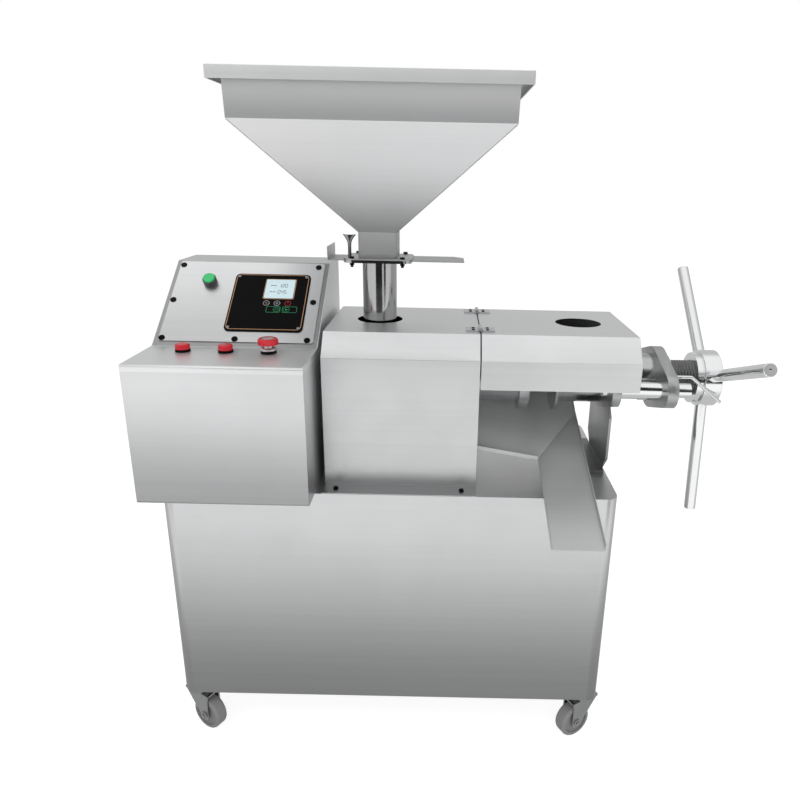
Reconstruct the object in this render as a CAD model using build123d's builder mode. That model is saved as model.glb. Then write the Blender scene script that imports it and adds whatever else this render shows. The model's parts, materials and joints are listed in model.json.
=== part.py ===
from build123d import *
import os
from math import atan2, cos, degrees, radians, sin

# Screw oil press on a wheeled cabinet: hopper and slide gate over a feed pipe, a worm in a slotted
# barrel, a screwed choke head with a three-bar handwheel, and a control housing on the left.
# Frame: +Z up, -Y is the front, origin on the floor under the middle of the whole machine.

# Sheet metal
SHEET = 2.0
BEND_R = 5.0

# Base cabinet and casters
CABINET_L = 900.0
CABINET_D = 428.0
CABINET_H = 483.0
CABINET_R = 25.0
SERVICE_W = 420.0
SERVICE_H = 300.0
SERVICE_LAP = 18.0
LOUVRE_COUNT = 7
LOUVRE_W = 240.0
LOUVRE_H = 10.0
LOUVRE_PITCH = 26.0
CASTER_H = 103.0
CASTER_INSET = 30.0
CASTER_YAW = 30.0
CASTER_PLATE = 52.0
CASTER_PLATE_R = 13.0
CASTER_PLATE_T = 3.0
RACE_R = 24.0
RACE_H = 8.0
KINGPIN_R = 6.0
FORK_T = 3.5
FORK_TOP = 72.0
FORK_FOOT = 13.0
TRAIL = 20.0
WHEEL_R = 37.5
WHEEL_W = 28.0
TYRE_IN_R = 28.0
AXLE_R = 5.0

# Control housing
CONTROL_W = 322.0
CONTROL_D = 427.0
CONTROL_OVER_LEFT = 17.0
CONTROL_OVER_FRONT = 56.0
LEDGE_H = 269.0
LEDGE_D = 138.0
SLOPE_D = 178.0
SLOPE_H = 143.0
CONTROL_ROW = 36.0
PANEL_W = 303.0
PANEL_H = 212.0
PANEL_T = 2.0
PANEL_SHIFT_UP = 4.0
DISPLAY_W = 155.5
DISPLAY_H = 151.5
DISPLAY_T = 3.0
DISPLAY_SHIFT = 49.0
LCD_W = 59.0
LCD_H = 50.0
LCD_T = 1.0
LCD_SHIFT_X = 18.5
LCD_SHIFT_UP = 34.0
BUTTON_SHIFT_X = -79.0
BUTTON_SHIFT_UP = 51.0
BEZEL_R = 14.0
BEZEL_H = 13.0
CAP_R = 12.0
CAP_PROUD = 3.5
BUTTON_TRAVEL = 3.0
LAMP_R = 14.0
LAMP_BASE_H = 5.0
LENS_R = 13.6
LENS_H = 10.0
LENS_ROUND = 3.0
LAMP_SHIFTS = (-86.0, -5.0)
ESTOP_SHIFT = 76.0
ESTOP_R = 19.0
ESTOP_H = 12.0
ESTOP_ROUND = 5.5
ESTOP_DISH_R = 13.0
ESTOP_DISH = 2.0
ESTOP_TRAVEL = 5.0
ESTOP_SPARE = 1.0
COLLAR_R = 15.0
COLLAR_H = 11.0
STEM_R = 8.0
STEM_DROP = 14.0

# Main cover and hinged chamber cover
COVER_GAP = 12.0
COVER_L = 304.0
COVER_W = 336.0
COVER_H = 305.0
COVER_BEVEL_Y = 37.0
COVER_BEVEL_Z = 44.0
FEED_HOLE_R = 47.0
SEAM = 2.0
LID_L = 306.0
LID_SKIRT = 101.0
LID_VALANCE = 54.0
VENT_R = 47.5
VENT_FROM_END = 97.0
HINGE_SPREAD = 188.0
HINGE_L = 33.0
HINGE_LEAF = 24.0
HINGE_T = 2.5
KNUCKLE_R = 4.0
HINGE_PIN_R = 1.8

# Feed pipe, slide gate and hopper
FEED_INSET = 98.0
PIPE_R = 35.0
PIPE_WALL = 3.0
PIPE_RISE = 121.0
FLANGE_X = 137.0
FLANGE_Y = 110.0
FLANGE_T = 3.0
FLANGE_R = 20.0
RAIL_W = 9.5
GATE_T = 2.0
GATE_LEFT = 100.0
GATE_RIGHT = 173.0
GATE_TAB = 27.0
GATE_BEVEL = 20.0
BOLT_X = 50.0
BOLT_Y = 50.0
BOLT_R = 3.0
BOLT_AF = 8.0
BOLT_HEAD = 4.0
WING_LEFT = 58.0
WING_FRONT = 22.0
WING_RISE = 45.0
WING_COLLAR_R = 6.0
WING_T = 4.0
LOBE_H = 24.0
LOBE_W = 12.0
LOBE_SHIFT = 7.5
LOBE_TILT = 18.0
NECK = 75.0
NECK_H = 50.0
FUNNEL_H = 190.0
HOPPER = 472.0
HOPPER_SHIFT = 13.0
SLANT_WALL = 2.8
HOPPER_DRAFT = 2.0
HOPPER_WALL_H = 74.0
RIM = 514.0
RIM_H = 20.0

# Press: barrel, worm and choke head
PRESS_H = 190.0
BORE_R = 32.3
BARREL_R = 58.0
JOINT_R = 75.0
JOINT_T = 20.0
JOINT_B_T = 5.0
FRONT_BARREL_R = 57.0
CAGE_R = 38.0
CAGE_L = 55.0
CAGE_SLOTS = 24
SLOT_W = 3.0
SLOT_END = 5.0
JOINT_A_FROM_HEAD = 176.0
CAGE_BOLTS = 4
CAGE_BOLT_ARC = 180.0
CAGE_BOLT_R = 4.0
CAGE_NUT = 8.0
CAGE_NUT_R = 6.0
FEED_BODY_L = 106.0
FEED_BODY_LEFT = 50.0
THROAT_H = 90.0
THROAT_R = 42.0
PEDESTAL_W = 110.0
BEARING_R = 62.0
BEARING_L = 40.0
RACE_OUT_R = 44.0
RACE_L = 26.0
SHAFT_R = 20.0
SHAFT_IN = 50.0
WORM_R = 31.5
WORM_CORE_IN = 19.0
WORM_CORE_OUT = 26.0
WORM_PITCH = 56.0
WORM_FLIGHT = 7.0
WORM_END_GAP = 4.0
HEAD_INSET = 14.0
HEAD_T = 18.0
PLATE_R = 66.0
EAR_R = 36.0
TIE_Y = 99.0
TIE_R = 16.5
TIE_END_R = 12.0
TIE_NUT_R = 15.0
TIE_NUT_IN = 14.0
TIE_NUT_OUT = 32.0
HEAD_R = 51.0
HEAD_BORE = 42.0
HEAD_L = 91.0
THROTTLE_R = 36.0
CAKE_W = 56.0
CAKE_L = 46.0
YOKE_T = 22.0
CHOKE_R = 37.5
CHOKE_IN = 40.0
CHOKE_SHOW = 65.0
CONE_TIP_R = 18.0
CONE_R = 40.0
CONE_L = 43.0
SPIGOT_R = 15.0
SPIGOT_L = 30.0
HUB_RING_R = 54.0
HUB_RING_L = 13.0
HUB_R = 60.0
HUB_L = 37.0
HUB_END = 10.0
BAR_ANGLES = (19.0, 137.0, 275.0)
BAR_R = 12.3
BAR_REACH = 300.0
BAR_SEAT = 16.0
BAR_DRILL_R = 3.0
BAR_DRILL = 6.0
LOCK_RING_R = 48.0
LOCK_RING_L = 12.0
LOCK_ROD_R = 3.5
LOCK_ROD_GAP = 3.0
LOCK_ANGLE = 16.0
LOCK_SWEEP = 40.0
LOCK_STRAIGHT = 40.0
LOCK_REACH = 63.0
LOCK_FLARE = 12.0
SUPPORT_T = 6.0
SUPPORT_W = 186.0
SUPPORT_RISE = 159.0
SUPPORT_CHAMFER = 34.0
SUPPORT_FOOT = 40.0
FOOT_T = 8.0

# Drip tray and oil chute
CHUTE_REACH = 340.0
CHUTE_W = 100.0
CHUTE_FROM_END = 35.0
CHUTE_BACK = 96.0
CHUTE_SLOPE = 0.33
CHUTE_WALL = 9.0
CHUTE_LIP = 5.0
CHUTE_CLIP = 5.0
TRAY_FRONT = 110.0
TRAY_SLOPE = 0.168
TRAY_FALL = 0.44
TRAY_LIP = 9.0
TRAY_LEG_BACK = 30.0
TRAY_LEG_D = 60.0
TRAY_FOOT = 12.0

# Drive in the cabinet and the control housing
GEARBOX_L = 232.0
GEARBOX_W = 200.0
GEARBOX_RISE = 84.0
GEARBOX_R = 14.0
GEARBOX_BOSS_R = 45.0
GEARBOX_BOSS_L = 8.0
PULLEY_R = 90.0
MOTOR_PULLEY_R = 45.0
PULLEY_L = 40.0
PULLEY_STUB = 12.0
GROOVE_W = 10.0
GROOVE_D = 9.0
GROOVE_PITCH = 16.0
BELT_W = 9.0
BELT_T = 8.0
DRIVE_SHAFT_R = 14.0
MOTOR_R = 82.0
MOTOR_L = 240.0
MOTOR_RISE = 100.0
MOTOR_FOOT_T = 10.0

# Clearances
FIT = 0.05
RUN = 0.3
HOLE_PLAY = 0.2

# Chain along X, from the control housing's left side to the handwheel's outer end
total_l = (
    CONTROL_OVER_LEFT + CABINET_L - HEAD_INSET + HEAD_T + HEAD_L + YOKE_T + CHOKE_SHOW
    + HUB_RING_L + HUB_L
)
control_x0 = -total_l / 2
control_x1 = control_x0 + CONTROL_W
control_x = (control_x0 + control_x1) / 2
cabinet_x0 = control_x0 + CONTROL_OVER_LEFT
cabinet_x1 = cabinet_x0 + CABINET_L
cabinet_x = (cabinet_x0 + cabinet_x1) / 2
cover_x0 = control_x1 + COVER_GAP
cover_x1 = cover_x0 + COVER_L
lid_x0 = cover_x1 + SEAM
lid_x1 = lid_x0 + LID_L
feed_x = cover_x0 + FEED_INSET
vent_x = lid_x1 - VENT_FROM_END
head_x = cabinet_x1 - HEAD_INSET
joint_a_x = head_x - JOINT_A_FROM_HEAD
cage_x = joint_a_x + JOINT_T
joint_b_x = cage_x + CAGE_L
barrel_b_x = joint_b_x + JOINT_B_T
feed_body_x0 = feed_x - FEED_BODY_LEFT
feed_body_x1 = feed_body_x0 + FEED_BODY_L
bearing_x0 = feed_body_x0 - BEARING_L
choke_head_x = head_x + HEAD_T
yoke_x = choke_head_x + HEAD_L
yoke_x1 = yoke_x + YOKE_T
hub_ring_x = yoke_x1 + CHOKE_SHOW
hub_x = hub_ring_x + HUB_RING_L
hub_x1 = hub_x + HUB_L
choke_x0 = yoke_x - CHOKE_IN
gearbox_x1 = control_x1 - SHEET - GEARBOX_BOSS_L
gearbox_x0 = gearbox_x1 - GEARBOX_L
pulley_x1 = gearbox_x0 - PULLEY_STUB
pulley_x0 = pulley_x1 - PULLEY_L
pulley_x = (pulley_x0 + pulley_x1) / 2
chute_x1 = head_x - CHUTE_FROM_END
chute_x0 = chute_x1 - CHUTE_W

# Depths along Y: the press axis stands over the cabinet's middle
press_y = (CHUTE_REACH - RIM / 2) / 2
cabinet_y0 = press_y - CABINET_D / 2
cabinet_y1 = press_y + CABINET_D / 2
control_y0 = cabinet_y0 - CONTROL_OVER_FRONT
control_y1 = control_y0 + CONTROL_D
slope_y0 = control_y0 + LEDGE_D
slope_y1 = slope_y0 + SLOPE_D
ledge_y = slope_y0 - CONTROL_ROW

# Heights
cabinet_z0 = CASTER_H
cabinet_z1 = CASTER_H + CABINET_H
floor_z = cabinet_z0 + SHEET
ledge_z = cabinet_z1 + LEDGE_H
control_z1 = ledge_z + SLOPE_H
press_z = cabinet_z1 + PRESS_H
cover_z1 = cabinet_z1 + COVER_H
throat_z = press_z + THROAT_H
flange_z = cover_z1 + PIPE_RISE
gate_z = flange_z + FLANGE_T
upper_z = gate_z + GATE_T + 2 * RUN
neck_z = upper_z + FLANGE_T
funnel_z = neck_z + NECK_H
wall_z = funnel_z + FUNNEL_H
rim_z = wall_z + HOPPER_WALL_H
motor_z = floor_z + MOTOR_RISE

# Working planes and axes
turning = Plane(origin=(0, press_y, press_z), x_dir=(1, 0, 0), z_dir=(0, -1, 0))
across = Plane(origin=(0, press_y, press_z), x_dir=(0, 1, 0), z_dir=(1, 0, 0))
press_axis = Axis((0, press_y, press_z), (1, 0, 0))
slope_angle = degrees(atan2(SLOPE_H, SLOPE_D))
slope_plane = Plane(
    origin=(control_x, (slope_y0 + slope_y1) / 2, (ledge_z + control_z1) / 2),
    x_dir=(1, 0, 0),
    z_dir=(0, -sin(radians(slope_angle)), cos(radians(slope_angle))),
)
slope_normal = Axis(slope_plane.origin, slope_plane.z_dir)

os.makedirs("parts", exist_ok=True)


def save(part, name):
    """Label a finished piece and write it under its own name."""
    part.label = name
    export_step(part, f"parts/{name}.step")


def plan(z):
    """A level plane at height z, centred over the cabinet."""
    return Plane(origin=(cabinet_x, press_y, z))


# Base cabinet: a folded shell with rounded upright corners, open below and at the back
with BuildPart() as base_cabinet:
    with BuildSketch(plan(cabinet_z0)):
        RectangleRounded(CABINET_L, CABINET_D, CABINET_R)
    extrude(amount=CABINET_H)
    with BuildSketch(plan(cabinet_z0)):
        RectangleRounded(CABINET_L - 2 * SHEET, CABINET_D - 2 * SHEET, CABINET_R - SHEET)
    extrude(amount=CABINET_H - SHEET, mode=Mode.SUBTRACT)
    with BuildSketch(Plane.XZ.offset(-cabinet_y1)):
        with Locations((cabinet_x, (cabinet_z0 + cabinet_z1) / 2)):
            Rectangle(SERVICE_W, SERVICE_H)
    extrude(amount=2 * SHEET, mode=Mode.SUBTRACT)
    belt_gap = 2 * (PULLEY_R + BELT_T)
    with BuildSketch(Plane.XY.offset(cabinet_z1 - 2 * SHEET)):
        with Locations((pulley_x, press_y)):
            Rectangle(PULLEY_L, belt_gap)
    extrude(amount=3 * SHEET, mode=Mode.SUBTRACT)
save(base_cabinet.part, "base_cabinet")

# Cabinet floor: a plate inside the foot of the shell that carries the motor and the casters
with BuildPart() as cabinet_floor:
    with BuildSketch(plan(cabinet_z0)):
        RectangleRounded(CABINET_L - 2 * SHEET, CABINET_D - 2 * SHEET, CABINET_R - SHEET)
    extrude(amount=SHEET)
save(cabinet_floor.part, "cabinet_floor")

# Service panel on the back, with a column of pressed louvres
with BuildPart() as service_panel:
    with BuildSketch(Plane.XZ.offset(-cabinet_y1 - SHEET)):
        with Locations((cabinet_x, (cabinet_z0 + cabinet_z1) / 2)):
            RectangleRounded(SERVICE_W + 2 * SERVICE_LAP, SERVICE_H + 2 * SERVICE_LAP, BEND_R)
    extrude(amount=SHEET)
    with BuildSketch(Plane.XZ.offset(-cabinet_y1 - SHEET)):
        with Locations((cabinet_x, (cabinet_z0 + cabinet_z1) / 2)):
            with GridLocations(0, LOUVRE_PITCH, 1, LOUVRE_COUNT):
                SlotOverall(LOUVRE_W, LOUVRE_H)
    extrude(amount=SHEET, mode=Mode.SUBTRACT)
save(service_panel.part, "service_panel")

# Swivel casters: a fixed plate with its race and kingpin, a fork with its axle, and a wheel
fork_z1 = CASTER_H - CASTER_PLATE_T - RACE_H - RUN
fork_z0 = fork_z1 - FORK_T
cheek_y = WHEEL_W / 2 + RUN + FORK_T / 2
caster_dx = CABINET_L / 2 - CASTER_INSET
caster_dy = CABINET_D / 2 - CASTER_INSET
casters = {
    "front_left": (cabinet_x - caster_dx, press_y - caster_dy, -CASTER_YAW),
    "front_right": (cabinet_x + caster_dx, press_y - caster_dy, 180 + CASTER_YAW),
    "rear_left": (cabinet_x - caster_dx, press_y + caster_dy, -CASTER_YAW),
    "rear_right": (cabinet_x + caster_dx, press_y + caster_dy, 180 + CASTER_YAW),
}

with BuildPart() as caster_plates:
    with BuildSketch(Plane.XY.offset(CASTER_H - CASTER_PLATE_T)):
        for caster_x, caster_y, yaw in casters.values():
            with Locations((caster_x, caster_y)):
                RectangleRounded(CASTER_PLATE, CASTER_PLATE, CASTER_PLATE_R)
    extrude(amount=CASTER_PLATE_T)
    with BuildSketch(Plane.XY.offset(fork_z1 + RUN)):
        for caster_x, caster_y, yaw in casters.values():
            with Locations((caster_x, caster_y)):
                Circle(RACE_R)
    extrude(amount=RACE_H)
    with BuildSketch(Plane.XY.offset(fork_z0 - RUN)):
        for caster_x, caster_y, yaw in casters.values():
            with Locations((caster_x, caster_y)):
                Circle(KINGPIN_R)
    extrude(amount=FORK_T + 2 * RUN)
    with BuildSketch(Plane.XY.offset(fork_z0 - RUN - FORK_T)):
        for caster_x, caster_y, yaw in casters.values():
            with Locations((caster_x, caster_y)):
                Circle(KINGPIN_R + FORK_T)
    extrude(amount=FORK_T)
save(caster_plates.part, "caster_plates")

for corner, (caster_x, caster_y, yaw) in casters.items():
    trail_dir = Vector(cos(radians(yaw)), sin(radians(yaw)), 0)
    axle_dir = Vector(-sin(radians(yaw)), cos(radians(yaw)), 0)
    hub_point = Vector(caster_x, caster_y, WHEEL_R) + trail_dir * TRAIL
    side = Plane(origin=(caster_x, caster_y, 0), x_dir=trail_dir, z_dir=-axle_dir)
    axle_plane = Plane(origin=hub_point, x_dir=trail_dir, z_dir=-axle_dir)

    with BuildPart() as caster_fork:
        with BuildSketch(Plane(origin=(caster_x, caster_y, fork_z0), x_dir=trail_dir, z_dir=(0, 0, 1))):
            RectangleRounded(FORK_TOP, 2 * cheek_y + FORK_T, FORK_T)
        extrude(amount=FORK_T)
        for cheek in (-cheek_y, cheek_y):
            with BuildSketch(side.offset(cheek - FORK_T / 2)):
                with BuildLine():
                    Polyline(
                        (-FORK_TOP / 2 + FORK_T, fork_z1),
                        (FORK_TOP / 2 - FORK_T, fork_z1),
                        (TRAIL + FORK_FOOT, WHEEL_R),
                        (TRAIL - FORK_FOOT, WHEEL_R),
                        close=True,
                    )
                make_face()
                with Locations((TRAIL, WHEEL_R)):
                    Circle(FORK_FOOT)
            extrude(amount=FORK_T)
        with BuildSketch(axle_plane.offset(-cheek_y - 2 * FORK_T)):
            Circle(AXLE_R)
        extrude(amount=2 * cheek_y + 4 * FORK_T)
        with BuildSketch(Plane.XY.offset(fork_z0 - FORK_T)):
            with Locations((caster_x, caster_y)):
                Circle(KINGPIN_R + FIT)
        extrude(amount=3 * FORK_T, mode=Mode.SUBTRACT)
    save(caster_fork.part, f"caster_fork_{corner}")

    with BuildPart() as caster_wheel:
        with BuildSketch(axle_plane.offset(-WHEEL_W / 2)):
            Circle(WHEEL_R)
        extrude(amount=WHEEL_W)
        fillet(caster_wheel.edges().filter_by(GeomType.CIRCLE), WHEEL_W / 5)
        for face in (-WHEEL_W / 2, WHEEL_W / 2 - FORK_T):
            with BuildSketch(axle_plane.offset(face)):
                Circle(TYRE_IN_R)
                Circle(2 * AXLE_R, mode=Mode.SUBTRACT)
            extrude(amount=FORK_T, mode=Mode.SUBTRACT)
        with BuildSketch(axle_plane.offset(-WHEEL_W)):
            Circle(AXLE_R + FIT)
        extrude(amount=2 * WHEEL_W, mode=Mode.SUBTRACT)
    save(caster_wheel.part, f"caster_wheel_{corner}")

# Control housing: a folded case with a ledge and a sloping panel, open below
with BuildPart() as control_housing:
    with BuildSketch(Plane.YZ.offset(control_x0)) as case_side:
        with BuildLine():
            Polyline(
                (control_y0, cabinet_z1),
                (control_y0, ledge_z),
                (slope_y0, ledge_z),
                (slope_y1, control_z1),
                (control_y1, control_z1),
                (control_y1, cabinet_z1),
                close=True,
            )
        make_face()
        fillet(case_side.vertices(), BEND_R)
    extrude(amount=CONTROL_W)
    with BuildSketch(Plane.YZ.offset(control_x0 + SHEET)):
        add(case_side.sketch_local)
        offset(amount=-SHEET, mode=Mode.REPLACE)
    extrude(amount=CONTROL_W - 2 * SHEET, mode=Mode.SUBTRACT)
    with BuildSketch(Plane.XY.offset(cabinet_z1 - SHEET)):
        with Locations(((cabinet_x0 + control_x1) / 2, (cabinet_y0 + control_y1) / 2)):
            Rectangle(
                control_x1 - cabinet_x0 - 4 * BEND_R, control_y1 - cabinet_y0 - 4 * BEND_R
            )
    extrude(amount=3 * SHEET, mode=Mode.SUBTRACT)
    with BuildSketch(across.offset(control_x1 - 2 * SHEET)):
        Circle(SHAFT_R + BEND_R)
    extrude(amount=3 * SHEET, mode=Mode.SUBTRACT)
    with BuildSketch(Plane.XY.offset(ledge_z - 2 * SHEET)):
        with Locations((control_x + ESTOP_SHIFT, ledge_y)):
            Circle(STEM_R + SHEET + HOLE_PLAY)
    extrude(amount=3 * SHEET, mode=Mode.SUBTRACT)
save(control_housing.part, "control_housing")

# Sloping panel: the plate, the display plate on it, and the display window
with BuildPart() as panel_plate:
    with BuildSketch(slope_plane):
        with Locations((0, PANEL_SHIFT_UP)):
            RectangleRounded(PANEL_W, PANEL_H, BEND_R)
    extrude(amount=PANEL_T)
save(panel_plate.part, "panel_plate")

display_z = PANEL_T + DISPLAY_T
with BuildPart() as display_plate:
    with BuildSketch(slope_plane.offset(PANEL_T)):
        with Locations((DISPLAY_SHIFT, 0)):
            RectangleRounded(DISPLAY_W, DISPLAY_H, 2 * BEND_R)
    extrude(amount=DISPLAY_T)
    chamfer(display_plate.faces().sort_by(slope_normal)[-1].edges(), DISPLAY_T / 3)
save(display_plate.part, "display_plate")

with BuildPart() as lcd_window:
    with BuildSketch(slope_plane.offset(display_z)):
        with Locations((DISPLAY_SHIFT + LCD_SHIFT_X, LCD_SHIFT_UP)):
            RectangleRounded(LCD_W, LCD_H, SHEET)
    extrude(amount=LCD_T)
save(lcd_window.part, "lcd_window")

# Start button: a bezel ring on the panel and a cap that is pressed into it
with BuildPart() as start_bezel:
    with BuildSketch(slope_plane.offset(PANEL_T)):
        with Locations((BUTTON_SHIFT_X, BUTTON_SHIFT_UP)):
            Circle(BEZEL_R)
    extrude(amount=BEZEL_H)
    rim_edges = start_bezel.edges().filter_by(GeomType.CIRCLE)
    chamfer(rim_edges.sort_by(slope_normal)[-1], SHEET / 2)
    with BuildSketch(slope_plane.offset(PANEL_T)):
        with Locations((BUTTON_SHIFT_X, BUTTON_SHIFT_UP)):
            Circle(CAP_R + RUN)
    extrude(amount=BEZEL_H, mode=Mode.SUBTRACT)
save(start_bezel.part, "start_bezel")

with BuildPart() as start_cap:
    with BuildSketch(slope_plane.offset(PANEL_T + BUTTON_TRAVEL + RUN)):
        with Locations((BUTTON_SHIFT_X, BUTTON_SHIFT_UP)):
            Circle(CAP_R)
    extrude(amount=BEZEL_H + CAP_PROUD - BUTTON_TRAVEL - RUN)
    cap_edges = start_cap.edges().filter_by(GeomType.CIRCLE)
    fillet(cap_edges.sort_by(slope_normal)[-1], SHEET)
save(start_cap.part, "start_cap")

# Pilot lamps on the ledge: round bases and flat-topped lenses
with BuildPart() as lamp_bases:
    for shift in LAMP_SHIFTS:
        with BuildSketch(Plane.XY.offset(ledge_z)):
            with Locations((control_x + shift, ledge_y)):
                Circle(LAMP_R)
        extrude(amount=LAMP_BASE_H)
save(lamp_bases.part, "lamp_bases")

with BuildPart() as lamp_lenses:
    for shift in LAMP_SHIFTS:
        with BuildSketch(Plane.XY.offset(ledge_z + LAMP_BASE_H)):
            with Locations((control_x + shift, ledge_y)):
                Circle(LENS_R)
        extrude(amount=LENS_H)
    fillet(lamp_lenses.edges().group_by(Axis.Z)[-1], LENS_ROUND)
save(lamp_lenses.part, "lamp_lenses")

# Emergency stop: a collar through the ledge, a sliding stem and a mushroom head that twists on it
estop_x = control_x + ESTOP_SHIFT
with BuildPart() as estop_collar:
    with BuildSketch(Plane.XY.offset(ledge_z)):
        with Locations((estop_x, ledge_y)):
            Circle(COLLAR_R)
    extrude(amount=COLLAR_H)
    chamfer(estop_collar.edges().group_by(Axis.Z)[-1], SHEET)
    with BuildSketch(Plane.XY.offset(ledge_z - STEM_DROP)):
        with Locations((estop_x, ledge_y)):
            Circle(STEM_R + SHEET)
    extrude(amount=STEM_DROP)
    with BuildSketch(Plane.XY.offset(ledge_z - STEM_DROP)):
        with Locations((estop_x, ledge_y)):
            Circle(STEM_R + FIT)
    extrude(amount=STEM_DROP + COLLAR_H, mode=Mode.SUBTRACT)
save(estop_collar.part, "estop_collar")

estop_head_z = ledge_z + COLLAR_H + ESTOP_TRAVEL + ESTOP_SPARE
with BuildPart() as estop_stem:
    with BuildSketch(Plane.XY.offset(ledge_z - STEM_DROP / 2)):
        with Locations((estop_x, ledge_y)):
            Circle(STEM_R)
    extrude(amount=estop_head_z + ESTOP_H / 2 - ledge_z + STEM_DROP / 2)
save(estop_stem.part, "estop_stem")

with BuildPart() as estop_head:
    with BuildSketch(Plane.XY.offset(estop_head_z)):
        with Locations((estop_x, ledge_y)):
            Circle(ESTOP_R)
    extrude(amount=ESTOP_H)
    fillet(estop_head.edges().group_by(Axis.Z)[-1], ESTOP_ROUND)
    with BuildSketch(Plane.XY.offset(estop_head_z + ESTOP_H - ESTOP_DISH)):
        with Locations((estop_x, ledge_y)):
            Circle(ESTOP_DISH_R)
    extrude(amount=ESTOP_DISH, mode=Mode.SUBTRACT)
    with BuildSketch(Plane.XY.offset(estop_head_z)):
        with Locations((estop_x, ledge_y)):
            Circle(STEM_R + FIT)
    extrude(amount=ESTOP_H / 2 + FIT, mode=Mode.SUBTRACT)
save(estop_head.part, "estop_head")

# Covers: a roof section of front wall, bevel, flat top, bevel and back wall
cover_half = COVER_W / 2


def roof(x, z0, inset):
    """The roof section at x, cut off at height z0 and drawn in by inset on every side but the foot."""
    with BuildSketch(Plane.YZ.offset(x), mode=Mode.PRIVATE) as section:
        with BuildLine():
            Polyline(
                (press_y - cover_half, z0),
                (press_y - cover_half, cover_z1 - COVER_BEVEL_Z),
                (press_y - cover_half + COVER_BEVEL_Y, cover_z1),
                (press_y + cover_half - COVER_BEVEL_Y, cover_z1),
                (press_y + cover_half, cover_z1 - COVER_BEVEL_Z),
                (press_y + cover_half, z0),
                close=True,
            )
        make_face()
        if inset:
            offset(amount=-inset, mode=Mode.REPLACE)
            with Locations((press_y, z0 + inset / 2)):
                Rectangle(COVER_W - 2 * inset, 2 * inset)
    return section.sketch


with BuildPart() as main_cover:
    extrude(roof(cover_x0, cabinet_z1, 0), amount=COVER_L, dir=(1, 0, 0))
    extrude(
        roof(cover_x0 + SHEET, cabinet_z1, SHEET),
        amount=COVER_L - 2 * SHEET,
        dir=(1, 0, 0),
        mode=Mode.SUBTRACT,
    )
    with BuildSketch(Plane.XY.offset(cabinet_z1)):
        with Locations(((cover_x0 + cover_x1) / 2, (cabinet_y0 + press_y - cover_half) / 2)):
            Rectangle(COVER_L, press_y - cover_half - cabinet_y0)
    extrude(amount=SHEET)
    with BuildSketch(Plane.XY.offset(cover_z1 - 2 * SHEET)):
        with Locations((feed_x, press_y)):
            Circle(FEED_HOLE_R)
    extrude(amount=3 * SHEET, mode=Mode.SUBTRACT)
    with BuildSketch(across.offset(cover_x0 - SHEET)):
        Circle(SHAFT_R + BEND_R)
    extrude(amount=3 * SHEET, mode=Mode.SUBTRACT)
    with BuildSketch(across.offset(cover_x1 - 2 * SHEET)):
        Circle(BARREL_R + SHEET)
    extrude(amount=3 * SHEET, mode=Mode.SUBTRACT)
save(main_cover.part, "main_cover")

with BuildPart() as chamber_cover:
    extrude(roof(lid_x0, cover_z1 - LID_SKIRT, 0), amount=LID_L, dir=(1, 0, 0))
    extrude(
        roof(lid_x0, cover_z1 - LID_SKIRT, SHEET),
        amount=LID_L - SHEET,
        dir=(1, 0, 0),
        mode=Mode.SUBTRACT,
    )
    with BuildSketch(Plane.YZ.offset(lid_x1 - 2 * SHEET)):
        with Locations((press_y, cover_z1 - LID_SKIRT)):
            Rectangle(COVER_W - 2 * SHEET, 2 * (LID_SKIRT - LID_VALANCE))
    extrude(amount=3 * SHEET, mode=Mode.SUBTRACT)
    with BuildSketch(Plane.XY.offset(cover_z1 - 2 * SHEET)):
        with Locations((vent_x, press_y)):
            Circle(VENT_R)
    extrude(amount=3 * SHEET, mode=Mode.SUBTRACT)
save(chamber_cover.part, "chamber_cover")

# Two butt hinges over the seam: leaves on either cover, and the pins through their knuckles
hinge_x = (cover_x1 + lid_x0) / 2
hinge_z = cover_z1 + KNUCKLE_R + RUN
knuckle_l = HINGE_L / 3
knuckle_room = KNUCKLE_R + 2 * RUN


def hinge_leaf(direction, knuckle_offsets):
    """Leaf plates on one side of the seam, with knuckles at the given offsets along the pin."""
    with BuildPart(mode=Mode.PRIVATE) as leaf:
        for hinge_y in (press_y - HINGE_SPREAD / 2, press_y + HINGE_SPREAD / 2):
            with BuildSketch(Plane.XY.offset(cover_z1)):
                with Locations((hinge_x + direction * (knuckle_room + HINGE_LEAF / 2), hinge_y)):
                    Rectangle(HINGE_LEAF, HINGE_L)
            extrude(amount=HINGE_T)
            for knuckle_offset in knuckle_offsets:
                middle = hinge_y + knuckle_offset
                with BuildSketch(Plane.XZ.offset(-middle - knuckle_l / 2 + RUN / 2)):
                    with Locations((hinge_x, hinge_z)):
                        Circle(KNUCKLE_R)
                    with Locations((hinge_x + direction * knuckle_room / 2, cover_z1 + HINGE_T * 0.75)):
                        Rectangle(knuckle_room + SHEET, HINGE_T / 2)
                extrude(amount=knuckle_l - RUN)
            with BuildSketch(Plane.XZ.offset(-hinge_y - HINGE_L)):
                with Locations((hinge_x, hinge_z)):
                    Circle(HINGE_PIN_R + FIT)
            extrude(amount=2 * HINGE_L, mode=Mode.SUBTRACT)
    return leaf.part


save(hinge_leaf(-1, (-knuckle_l, knuckle_l)), "hinge_leaves_fixed")
save(hinge_leaf(1, (0,)), "hinge_leaves_lid")

with BuildPart() as hinge_pins:
    for hinge_y in (press_y - HINGE_SPREAD / 2, press_y + HINGE_SPREAD / 2):
        with BuildSketch(Plane.XZ.offset(-hinge_y - HINGE_L / 2)):
            with Locations((hinge_x, hinge_z)):
                Circle(HINGE_PIN_R)
        extrude(amount=HINGE_L)
save(hinge_pins.part, "hinge_pins")

# Feed pipe with its flange and the two rails that the slide gate runs between
bolt_points = [(sx * BOLT_X, sy * BOLT_Y) for sx in (-1, 1) for sy in (-1, 1)]
feed_plan = Plane(origin=(feed_x, press_y, 0))

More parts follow.
